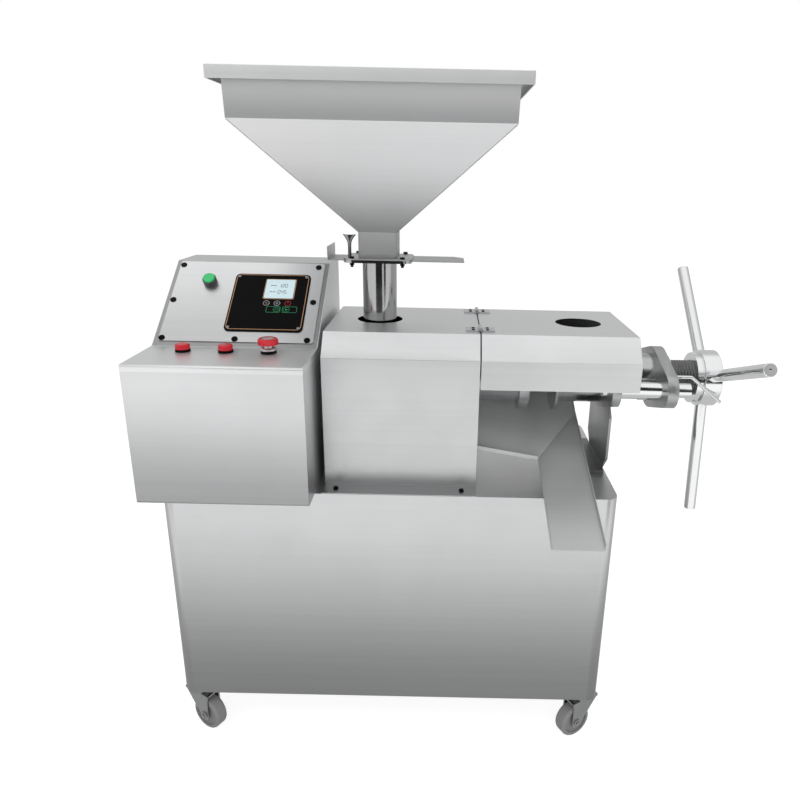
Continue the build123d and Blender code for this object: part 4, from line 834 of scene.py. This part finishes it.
class OILPRESS_OT_sheet_steel(PressOperator):
    """Brush the folded sheet and paint its shade by height: cabinet, housing, covers, hopper, tray and
    chute
    """

    bl_idname = "oilpress.sheet_steel"
    bl_label = "Sheet Steel"

    def execute(self, context):
        sizes = settings()[0]
        light = palette().steel_light
        dark = palette().steel_dark

        def shade(share):
            """A steel some way from dark to light."""
            return dark + (light - dark) * share

        def panel(node, low, high, rough=0.34, rise=1.0, edge=sizes.sheet_edge, crown=None, **more):
            """A sheet with painted shade from its foot to a share of its rise, and painted shade over a
            crown's level.
            """
            foot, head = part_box(node)
            top = foot.z + rise * (head.z - foot.z)
            over = crown and (crown[0], head.z, shade(crown[1]), shade(crown[2]))
            grade = (shade(low), shade(high), foot.z, top)
            dress([node], metal_finish(f"brushed_{node}", *grade, ALONG_X, rough, crown=over, **more), edge)

        wall = wall_foot(node_points("hopper"))
        ledge = reach("estop_collar", UP)[0] + CROWN_STEP
        # Painted shade on the covers' inner side
        hollow_shade = 0.45 * dark
        # Each sheet's painted shade at its foot and head, as a share of the way from dark to light steel;
        # the crowns paint other shades over the housing's ledge and the hopper's upright wall
        panel("base_cabinet", 0.44, 0.98)
        panel("control_housing", 0.47, 1.12, rise=0.62, crown=(ledge, 1.20, 0.95), metal=0.75)
        panel("panel_plate", 0.88, 1.15, 0.30)
        panel("main_cover", 0.90, 1.22, inner=(cover_planes("main_cover"), hollow_shade))
        panel("chamber_cover", 1.14, 1.24, inner=(cover_planes("chamber_cover"), hollow_shade))
        panel("hopper", 0.36, 1.38, rise=0.62, crown=(wall, 0.36, 0.84), metal=0.42)
        panel("hopper_rim", 1.25, 1.30)
        panel("upper_flange", 0.80, 0.84)
        panel("slide_gate", 0.78, 0.90)
        panel("support_plate", 0.20, 0.50)
        panel("drip_tray", 0.80, 0.90, metal=0.35)
        panel("oil_chute", 0.85, 0.85, metal=0.55)
        panel("service_panel", 0.45, 0.80, edge=0.0)
        panel("cabinet_floor", 0.40, 0.40)
        return {"FINISHED"}


class OILPRESS_OT_machined_steel(PressOperator):
    """Finish the turned and milled steel of the press and its feed"""

    bl_idname = "oilpress.machined_steel"
    bl_label = "Machined Steel"

    def execute(self, context):
        sizes = settings()[0]
        polish = palette().polish
        machined = palette().machined
        bright = plain_metal("polished_bar", polish, ROUND_X, 0.08, 30.0, 0.05, 0.04)
        # The feed pipe and the head cylinder are darker copies of the polished steel: painted shade
        upright = plain_metal("polished_pipe", 0.50 * polish, ALONG_Z, 0.08, 30.0, 0.05, 0.04)
        turned_steel = plain_metal("turned_steel", machined, ROUND_X, 0.22, 22.0, 0.22, 0.20)
        head = plain_metal("polished_head", 0.6 * polish, ROUND_X, 0.14, 30.0, 0.08, 0.06)
        # Barrels bright below the press's axis and dark above it: painted highlight and painted shade
        axis_z = middle("press_cage")[2]
        shade_levels = (axis_z - 30 * MM, axis_z + 15 * MM)
        shades = (1.5 * machined, 0.22 * machined)
        barrel = metal_finish("barrel_painted_shade", *shades, *shade_levels, ROUND_X, 0.20, 22.0, 0.15, 0.15)
        # Plates darker low and lighter high: painted shade
        shades = (0.6 * machined, 1.2 * machined)
        plate = metal_finish("milled_plate", *shades, *LEVELS, ALONG_Z, 0.32, 18.0, 0.12, 0.2)
        dress(["tie_rods", "handle_bars", "handwheel_hub", "lock_lever"], bright)
        dress(["feed_pipe"], upright)
        dress(["head_cylinder"], head)
        dress(["rear_barrel", "front_barrel", "press_cage"], barrel)
        dress(["press_screw", "choke_cone", "feed_body", "adjusting_screw", "thrust_bearing"], turned_steel)
        dress(["head_plate", "yoke_plate"], plate, sizes.part_edge)
        return {"FINISHED"}


class OILPRESS_OT_controls(PressOperator):
    """Colour the lamps, buttons, display plate and window"""

    bl_idname = "oilpress.controls"
    bl_label = "Controls"

    def execute(self, context):
        sizes = settings()[0]
        colours = palette()
        black = moulded_finish("display_black", 0.5 * colours.black_plastic, 0.5, shine=0.05)
        step = reach("estop_collar", UP)[1] - sizes.collar_ring
        band = (step - sizes.print_lift, step + sizes.print_lift)
        collar = metal_finish("two_tone_collar", colours.black_oxide, colours.polish, *band, ALL_ROUND, 0.3)
        # The bezel is darker at its foot and lighter at its top: painted shade
        shades = (0.3 * colours.zinc, 0.5 * colours.zinc)
        bezel = metal_finish("dark_bezel", *shades, *reach("start_bezel", UP), ALL_ROUND, 0.28)
        red = moulded_finish("red_moulding", colours.red_plastic, 0.30, 0.15)
        lens = moulded_finish("red_lens", 0.9 * colours.red_plastic, 0.22, 0.1, 0.12)
        # The start button's faint glow is painted light
        green = moulded_finish("green_moulding", colours.green_plastic, 0.28, 0.4, 0.05)
        window = moulded_finish("lit_window", colours.window, 0.14, 0.6, 0.35, 300.0, 0.01)
        dress(["display_plate", "lamp_bases"], black, sizes.part_edge)
        dress(["start_bezel"], bezel, sizes.part_edge)
        dress(["estop_collar", "estop_stem"], collar)
        dress(["estop_head"], red)
        dress(["lamp_lenses"], lens, sizes.part_edge)
        dress(["start_cap"], green)
        dress(["lcd_window"], window)

        disc = moulded_finish("stop_disc", colours.grey_plastic, 0.35)
        top = middle("estop_head")
        top[2] = reach("estop_stem", UP)[1] + 4 * MM
        dish = sizes.dish
        profile = [(dish, -0.2 * MM), (dish, 0.5 * MM), (0.9 * dish, 0.8 * MM), (0, 0.8 * MM)]
        grids = [placed(turned(profile, 2 * sizes.spokes), top, TOP_FRAME)]
        piece("stop_disc", grids, "estop_knob", disc)
        return {"FINISHED"}


class OILPRESS_OT_running_gear(PressOperator):
    """Finish the casters, hinges, bolts and the drive inside the cabinet"""

    bl_idname = "oilpress.running_gear"
    bl_label = "Running Gear"

    def execute(self, context):
        sizes = settings()[0]
        colours = palette()
        zinc = colours.zinc
        # The zinc is a little lighter high up than low down: painted shade
        plated = metal_finish(
            "plated_zinc", 1.1 * zinc, 1.2 * zinc, *LEVELS, ALL_ROUND, 0.30, 60.0, 0.18, 0.1,
        )
        black = plain_metal("black_oxide", colours.black_oxide, ALL_ROUND, 0.38, 60.0, 0.2, 0.1)
        leaf = plain_metal("hinge_steel", 1.7 * zinc, ALONG_X, 0.34, 60.0, 0.1, 0.1)
        tyre = moulded_finish("tyre_rubber", colours.rubber, 0.62, grain=500.0, depth=0.2)
        belt = moulded_finish("belt_rubber", colours.rubber, 0.70, grain=300.0, depth=0.4)
        casting = moulded_finish("painted_casting", colours.grey_paint, 0.42, 0.2, grain=220.0, depth=0.5)
        dress(["caster_plates", *(f"caster_fork_{place}" for place in CASTERS)], plated, sizes.part_edge)
        dress(["hinge_leaves_fixed", "hinge_leaves_lid"], leaf)
        dress(["hinge_pins", "wing_screw"], plated)
        dress(["flange_bolts", "cage_bolts"], black)
        dress([f"caster_wheel_{place}" for place in CASTERS], tyre)
        dress(["drive_belts"], belt)
        dress(["gearbox", "motor", "gearbox_pulley", "motor_pulley"], casting)
        return {"FINISHED"}


PANEL_COLUMNS = np.array((-145.0, 139.0)) * MM
PANEL_ROWS = np.array((-99.0, -1.5, 95.0)) * MM
PANEL_MIDDLE = -2.5 * MM
DISPLAY_CORNER = 9 * MM
DISPLAY_INSET = 8 * MM
DISPLAY_BORDER = 3 * MM
KEY_X = np.array((-3.5, 18.0, 40.0)) * MM
KEY_Y = -4 * MM
RUN_Y = -20.5 * MM
RUN_HEIGHT = 16 * MM
PAUSE_SPAN = np.array((-1.5, 27.0)) * MM
START_SPAN = np.array((31.0, 60.5)) * MM
WINDOW_ROWS = ("120", "045")


class OILPRESS_OT_panel_face(PressOperator):
    """Print the display's frame and keys, light its window and set the panel's screws"""

    bl_idname = "oilpress.panel_face"
    bl_label = "Panel Face"

    def execute(self, context):
        sizes = settings()[0]
        colours = palette()
        lift = sizes.print_lift
        oxide = colours.black_oxide
        panel_levels = reach("panel_plate", UP)
        # The panel screws are a little lighter high on the panel than low: painted shade
        black = metal_finish("panel_screw_black", oxide, 2 * oxide, *panel_levels, ALL_ROUND, 0.3)
        shades = (colours.zinc, colours.zinc)
        silver = metal_finish("display_screw_zinc", *shades, *reach("display_plate", UP), ALL_ROUND, 0.25)
        copper, white, green, red = (
            moulded_finish(name, getattr(colours, name), 0.4)
            for name in ("copper_print", "white_print", "green_print", "red_print")
        )
        figures = moulded_finish("lit_figures", colours.figure, 0.4, 0.0, 0.5)

        # A darker skin laid over the housing's slope round the panel plate: painted shade
        shade = 0.55 * colours.steel_light
        border = metal_finish("slope_border", shade, shade, *panel_levels, ALONG_X, 0.34)
        piece("slope_border", [slope_sheet(lift)], "frame", border)
        spots = [(across, up) for across in PANEL_COLUMNS for up in PANEL_ROWS]
        spots.append((PANEL_MIDDLE, PANEL_ROWS[0]))
        dome = domed_head(sizes.panel_screw, sizes.panel_screw_height, sizes.spokes)
        grids = at_spots(dome, slope_origin("panel_plate"), SLOPE_FRAME, spots)
        piece("panel_screws", grids, "frame", black)

        display = slope_origin("display_plate")
        wide, tall = slope_size("display_plate")
        half = (wide / 2 - DISPLAY_INSET, tall / 2 - DISPLAY_INSET)
        pan = domed_head(sizes.small_screw, sizes.small_screw_height, sizes.spokes)
        spots = [(side * half[0], up * half[1]) for side in (-1, 1) for up in (-1, 1)]
        piece("display_screws", at_spots(pan, display, SLOPE_FRAME, spots), "frame", silver)

        def lined(width, height, corner, line):
            """A printed line round a field of the display."""
            return printed_frame(width, height, corner, line, lift)

        face = slope_origin("lcd_window")
        window = face - display
        window_wide, window_tall = slope_size("lcd_window")
        margin = 3.2 * sizes.frame_line
        tight = DISPLAY_CORNER / 3
        shown = lined(window_wide + margin, window_tall + margin, tight, sizes.frame_line)
        frames = [
            lined(wide - 2 * DISPLAY_BORDER, tall - 2 * DISPLAY_BORDER, DISPLAY_CORNER, sizes.frame_line),
            moved(shown, window @ RIGHT, window @ SLOPE_UP),
        ]
        piece("display_frame", on_slope(frames, display), "frame", copper)

        ring = printed_ring(sizes.key_radius, sizes.key_line, lift)
        sign = 0.9 * sizes.key_radius
        level_bar = printed_bar(sign, sizes.key_line, lift)
        upright_bar = printed_bar(sizes.key_line, sign, lift)
        marks = [
            moved(mark, across, KEY_Y)
            for mark, across in (
                (ring, KEY_X[0]), (level_bar, KEY_X[0]),
                (ring, KEY_X[1]), (level_bar, KEY_X[1]), (upright_bar, KEY_X[1]),
            )
        ]
        piece("number_keys", on_slope(marks, display), "frame", white)
        marks = [moved(ring, KEY_X[2], KEY_Y), moved(upright_bar, KEY_X[2], KEY_Y + 0.4 * sign)]
        piece("stop_key", on_slope(marks, display), "frame", red)

        pause_x = PAUSE_SPAN[1] - RUN_HEIGHT / 2
        start_x = START_SPAN[0] + RUN_HEIGHT / 2
        gap = 0.3 * sizes.key_radius
        pause = printed_bar(1.3 * sizes.key_line, 0.8 * sign, lift)
        start = printed_wedge(0.5 * sizes.key_radius, lift)
        marks = [
            moved(lined(np.ptp(span), RUN_HEIGHT, tight, sizes.key_line), span.mean(), RUN_Y)
            for span in (PAUSE_SPAN, START_SPAN)
        ]
        marks += [
            moved(mark, across, RUN_Y)
            for mark, across in (
                (ring, pause_x), (pause, pause_x - gap), (pause, pause_x + gap),
                (ring, start_x), (start, start_x),
            )
        ]
        piece("run_keys", on_slope(marks, display), "frame", green)

        grids = on_slope(figure_rows(WINDOW_ROWS, sizes.digit_height, lift), face)
        piece("window_figures", grids, "frame", figures)
        return {"FINISHED"}


class OILPRESS_OT_fasteners(PressOperator):
    """Set the screws of the cover's foot, the hinges and the service panel, and the louvres' hoods"""

    bl_idname = "oilpress.fasteners"
    bl_label = "Fasteners"

    def execute(self, context):
        sizes = settings()[0]
        black = plain_metal("cover_screw_black", palette().black_oxide, ALL_ROUND, 0.36)
        silver = plain_metal("pan_screw_zinc", palette().zinc, ALL_ROUND, 0.26)

        low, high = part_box("main_cover")
        foot_sheet = 2 * MM
        foot_in = 20 * MM
        left_in = 26 * MM
        right_in = 30 * MM
        spots = [(low.x + left_in, 0), (high.x - right_in, 0)]
        cap = socket_head(sizes.cover_screw, sizes.cover_screw_height, sizes.spokes)
        grids = at_spots(cap, (0, low.y + foot_in, low.z + foot_sheet), TOP_FRAME, spots)
        piece("foot_screws", grids, "frame", black)

        leaf_sheet = 2.5 * MM
        leaf_top = high.z + leaf_sheet
        leaf_out = 14 * MM
        leaf_ins = (8 * MM, 25 * MM)
        pin_x = middle("hinge_pins")[0]
        pan = domed_head(sizes.small_screw, sizes.small_screw_height, sizes.spokes)
        leaves = (("hinge_leaves_fixed", "frame", -1), ("hinge_leaves_lid", "chamber_lid", 1))
        for node, body, side in leaves:
            front, back = reach(node, BACK)
            places = [front + inset for inset in leaf_ins] + [back - inset for inset in leaf_ins]
            spots = [(pin_x + side * leaf_out, place) for place in places]
            grids = at_spots(pan, (0, 0, leaf_top), TOP_FRAME, spots)
            piece(f"hinge_screws_{body}", grids, body, black)

        low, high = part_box("service_panel")
        panel_in = 9 * MM
        half = ((high.x - low.x) / 2 - panel_in, (high.z - low.z) / 2 - panel_in)
        centre = middle("service_panel")
        centre[1] = high.y
        spots = [(side * half[0], up * half[1]) for side in (-1, 0, 1) for up in (-1, 1)]
        grids = at_spots(pan, centre, REAR_FRAME, spots)
        piece("service_screws", grids, "frame", silver)

        slots = 7
        pitch = 26 * MM
        lowered = 6 * MM
        hood_length = 246 * MM
        hood_height = 15 * MM
        hood_sheet = 1.2 * MM
        cover = hood(hood_length, hood_height, sizes.hood_reach, hood_sheet)
        ups = (np.arange(slots) - (slots - 1) / 2) * pitch - lowered
        grids = at_spots(cover, centre, REAR_FRAME, [(0, up) for up in ups])
        piece("louvre_hoods", grids, "frame", silver)
        return {"FINISHED"}


class OILPRESS_OT_welds(PressOperator):
    """Run weld beads up the corners of the hopper's neck and funnel"""

    bl_idname = "oilpress.welds"
    bl_label = "Hopper Welds"

    def execute(self, context):
        radius = settings()[0].weld_bead
        steel = 0.75 * palette().steel_light
        low, high = reach("hopper", UP)
        ground = metal_finish("ground_weld", steel, steel, low, high, ALL_ROUND, 0.4, 80.0, 0.2, 0.3)
        points = node_points("hopper")
        neck_height = 50 * MM
        neck_top = low + neck_height
        neck_ripples = 14
        seam_ripples = 60
        seam_radius = 0.7 * radius
        inset = 0.35 * radius
        neck = hopper_corners(points, low)
        beads = corner_beads((neck, neck), (low, neck_top), inset, radius, neck_ripples)
        piece("neck_welds", beads, "frame", ground)
        levels = (neck_top, wall_foot(points))
        rings = [hopper_corners(points, level) for level in levels]
        beads = corner_beads(rings, levels, inset, seam_radius, seam_ripples)
        piece("funnel_welds", beads, "frame", ground)
        return {"FINISHED"}


class OILPRESS_OT_thread(PressOperator):
    """Cut the adjusting screw's thread"""

    bl_idname = "oilpress.thread"
    bl_label = "Adjusting Thread"

    def execute(self, context):
        sizes = settings()[0]
        low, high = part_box("adjusting_screw")
        steel = 0.55 * palette().machined
        dark = metal_finish("thread_steel", steel, steel, low.z, high.z, ROUND_X, 0.34, 40.0, 0.3, 0.2)
        radius = (high.z - low.z) / 2
        start = middle("adjusting_screw")
        start[0] = low.x
        grid = threaded_rod(high.x - low.x, radius, sizes.thread_pitch, sizes.thread_depth)
        grids = [placed(grid, start, basis(RIGHT, BACK))]
        made = piece("adjusting_thread", grids, "handwheel", dark)
        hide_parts("adjusting_screw")
        return {"FINISHED"}


class OILPRESS_OT_wing_screw(PressOperator):
    """Shape the wing screw that clamps the slide gate"""

    bl_idname = "oilpress.wing_screw"
    bl_label = "Wing Screw"

    def execute(self, context):
        sizes = settings()[0]
        low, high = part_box("wing_screw")
        # The wing screw is darker at its foot and lighter at its top: painted shade
        shades = (0.5 * palette().zinc, 0.8 * palette().zinc)
        dark = metal_finish("wing_steel", *shades, low.z, high.z, ALL_ROUND, 0.16, 60.0, 0.2, 0.1)
        grid = winged_stem(high.z - low.z, sizes.wing_stem, sizes.wing_half)
        foot = middle("wing_screw")
        foot[2] = low.z
        made = piece("winged_screw", [placed(grid, foot, TOP_FRAME)], "wing", dark)
        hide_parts("wing_screw")
        return {"FINISHED"}


class OILPRESS_OT_caster_nuts(PressOperator):
    """Put a nut on each end of every caster's axle"""

    bl_idname = "oilpress.caster_nuts"
    bl_label = "Caster Nuts"

    def execute(self, context):
        zinc = palette().zinc
        caster_top = 100 * MM
        plated = metal_finish("axle_nut_zinc", zinc, zinc, 0, caster_top, ALL_ROUND, 0.26)
        nut_radius = 9 * MM
        nut_height = 5 * MM
        nut = hex_head(nut_radius, nut_height)
        sunk = 7 * MM
        for place in CASTERS:
            axis = joint_axis(f"wheel_{place}_roll")
            hub = middle(f"caster_wheel_{place}")
            low, high = reach(f"caster_fork_{place}", axis)
            across = np.cross(UP, axis)
            out = high - hub @ axis - sunk
            back = hub @ axis - low - sunk
            grids = [
                placed(nut, hub + axis * out, basis(axis, across)),
                placed(nut, hub - axis * back, basis(-axis, across)),
            ]
            piece(f"axle_nuts_{place}", grids, f"swivel_{place}", plated)
        return {"FINISHED"}


class OILPRESS_OT_stage(PressOperator):
    """Set the camera, lamps, floor and room"""

    bl_idname = "oilpress.stage"
    bl_label = "Stage"

    def execute(self, context):
        stage = settings()[2]
        scene = context.scene
        scene.view_settings.view_transform = "Standard"
        view = bpy.data.cameras.new("camera")
        view.lens = stage.lens
        view.sensor_width = 36.0
        view.shift_x = stage.shift_x
        view.shift_y = stage.shift_y
        camera = bpy.data.objects.new("camera", view)
        scene.collection.objects.link(camera)
        look = Matrix.Rotation(radians(90) - stage.pitch, 4, "X") @ Matrix.Rotation(stage.roll, 4, "Z")
        camera.matrix_world = Matrix.Translation((stage.camera_x, stage.camera_y, stage.camera_z)) @ look
        scene.camera = camera
        lamp("key_lamp", (-1.2, -1.6, 2.6), 0.8, 1.6, stage.lamp)
        lamp("fill_lamp", (1.9, -0.9, 1.7), 0.8, 1.4, stage.fill)
        lamp("back_lamp", (0.2, 2.0, 2.4), 0.8, 1.8, stage.fill)
        lamp("front_lamp", (0.1, -1.7, 0.75), 0.9, 1.0, stage.front)
        dark_card("middle_card", (-0.92, 0.64), (0.50, 1.20))
        dark_card("upper_card", (0.75, 1.31), (0.95, 3.40))
        dark_card("side_card", (1.05, 1.90), (0.50, 0.95))
        pale_floor(stage)
        white_room(scene, stage)
        return {"FINISHED"}


def lamp(name, place, target_height, size, power):
    """A square soft lamp that faces the press at a height and shows in no mirror."""
    light = bpy.data.lights.new(name, "AREA")
    light.size = size
    light.energy = power
    holder = bpy.data.objects.new(name, light)
    bpy.context.scene.collection.objects.link(holder)
    aim = Vector((0, 0, target_height)) - Vector(place)
    holder.rotation_euler = aim.to_track_quat("-Z", "Y").to_euler()
    holder.location = place
    holder.visible_glossy = False


def sent_rays(tree):
    """One where a ray comes from the camera or through glass, and one where it comes from a mirror."""
    path = add(tree, "ShaderNodeLightPath").outputs
    seen = math_node(tree, "MAXIMUM", path["Is Camera Ray"], path["Is Transmission Ray"])
    return seen, path["Is Glossy Ray"]


def lit(tree, level, kind="ShaderNodeEmission"):
    """A white glow of one level."""
    return add(tree, kind, {"Color": WHITE, "Strength": level}).outputs[0]


def matt(tree, level):
    """A matt grey."""
    return add(tree, "ShaderNodeBsdfDiffuse", {"Color": (level, level, level, 1.0)}).outputs[0]


def either(tree, factor, first, second):
    """One of two shaders, or a blend of both."""
    return add(tree, "ShaderNodeMixShader", {0: factor, 1: first, 2: second}).outputs[0]


def stage_sheet(name, corners, finish):
    """A flat sheet of the stage with four corners, and its material's empty tree."""
    mesh = bpy.data.meshes.new(name)
    mesh.from_pydata(corners, [], [(0, 1, 2, 3)])
    sheet = bpy.data.objects.new(name, mesh)
    bpy.context.scene.collection.objects.link(sheet)
    material = bpy.data.materials.new(finish)
    material.use_nodes = True
    mesh.materials.append(material)
    tree = material.node_tree
    tree.nodes.clear()
    return sheet, tree


def dark_card(name, wide, tall, ahead=1.9, level=0.03):
    """An upright dark card in front of the press that only mirrors see."""
    low = [(x, -ahead, tall[0]) for x in wide]
    high = [(x, -ahead, tall[1]) for x in reversed(wide)]
    card, tree = stage_sheet(name, low + high, name)
    for kind in ("camera", "diffuse", "shadow", "transmission", "volume_scatter"):
        setattr(card, f"visible_{kind}", False)
    add(tree, "ShaderNodeOutputMaterial", {"Surface": lit(tree, level)})


def pale_floor(stage, half=9.0, under=0.4 * MM, lift=0.82, plain=0.8):
    """A wide pale floor that shows white to the camera and keeps the shadow. Mirrors see it grey close
    to the press."""
    corners = [(-half, -half, 0), (half, -half, 0), (half, half, 0), (-half, half, 0)]
    floor, tree = stage_sheet("floor", corners, "pale_floor")
    floor.location.z = CAD_BOX[0][2] - under
    seen, mirrored = sent_rays(tree)
    place = add(tree, "ShaderNodeTexCoord").outputs["Object"]
    ahead = math_node(tree, "MULTIPLY", axes(tree, place)[1], -1.0)
    level = stepped(tree, ahead, 0.20, 1.10, 0.60, 1.12)
    shaded = add(tree, "ShaderNodeAddShader", {0: matt(tree, stage.shadow), 1: lit(tree, lift)}).outputs[0]
    shown = either(tree, seen, matt(tree, plain), shaded)
    all_rays = either(tree, mirrored, shown, lit(tree, level))
    add(tree, "ShaderNodeOutputMaterial", {"Surface": all_rays})


def white_room(scene, stage):
    """A room that lights the press softly and shows white behind it. Mirrors see its sides and back wall
    grey and a dark open front over the horizon."""
    world = bpy.data.worlds.new("white_room")
    world.use_nodes = True
    tree = world.node_tree
    tree.nodes.clear()
    seen, mirrored = sent_rays(tree)
    x, y, z = axes(tree, add(tree, "ShaderNodeTexCoord").outputs["Generated"])
    sides = stepped(tree, math_node(tree, "ABSOLUTE", x), 0.45, 0.80, 1.0, 0.66)
    rear = stepped(tree, y, 0.25, 0.70, 1.0, 0.58)
    front = stepped(tree, y, -0.75, -0.45, 0.5, 0.0)
    high = stepped(tree, z, 0.50, 0.70, 1.0, 0.0)
    low = stepped(tree, z, 0.14, 0.26, 0.0, 1.0)
    walls = math_node(tree, "MULTIPLY", sides, rear)
    open_front = math_node(tree, "MULTIPLY", front, math_node(tree, "MULTIPLY", low, high))
    level = math_node(tree, "MULTIPLY", walls, math_node(tree, "SUBTRACT", 1.0, open_front))
    soft, white, mirror = (lit(tree, value, "ShaderNodeBackground") for value in (stage.room, 1.0, level))
    all_rays = either(tree, mirrored, either(tree, seen, soft, white), mirror)
    add(tree, "ShaderNodeOutputWorld", {"Surface": all_rays})
    scene.world = world


OPERATORS = (
    OILPRESS_OT_sheet_steel, OILPRESS_OT_machined_steel, OILPRESS_OT_controls, OILPRESS_OT_running_gear,
    OILPRESS_OT_panel_face, OILPRESS_OT_fasteners, OILPRESS_OT_welds, OILPRESS_OT_thread,
    OILPRESS_OT_wing_screw, OILPRESS_OT_caster_nuts, OILPRESS_OT_stage,
)


class OILPRESS_PT_sidebar(bpy.types.Panel):
    """Lists the press's values and steps"""

    bl_idname = "OILPRESS_PT_sidebar"
    bl_label = "Screw Oil Press"
    bl_space_type = "VIEW_3D"
    bl_region_type = "UI"
    bl_category = SIDEBAR

    def draw(self, context):
        layout = self.layout
        for group in settings():
            box = layout.box()
            for name in group.__annotations__:
                box.prop(group, name)
        for operator in OPERATORS:
            layout.operator(operator.bl_idname)


CLASSES = (PressSizes, PressColours, PressStage, *OPERATORS, OILPRESS_PT_sidebar)


def register():
    """Registers the classes and gives the scene their values."""
    for kind in CLASSES:
        bpy.utils.register_class(kind)
    bpy.types.Scene.oil_press_sizes = PointerProperty(type=PressSizes)
    bpy.types.Scene.oil_press_colours = PointerProperty(type=PressColours)
    bpy.types.Scene.oil_press_stage = PointerProperty(type=PressStage)


def unregister():
    """Takes the values and classes away again."""
    del bpy.types.Scene.oil_press_stage
    del bpy.types.Scene.oil_press_colours
    del bpy.types.Scene.oil_press_sizes
    for kind in reversed(CLASSES):
        bpy.utils.unregister_class(kind)


def main():
    """Dresses the press step by step."""
    register()
    for operator in OPERATORS:
        family, name = operator.bl_idname.split(".")
        getattr(getattr(bpy.ops, family), name)()


if __name__ == "__main__":
    main()
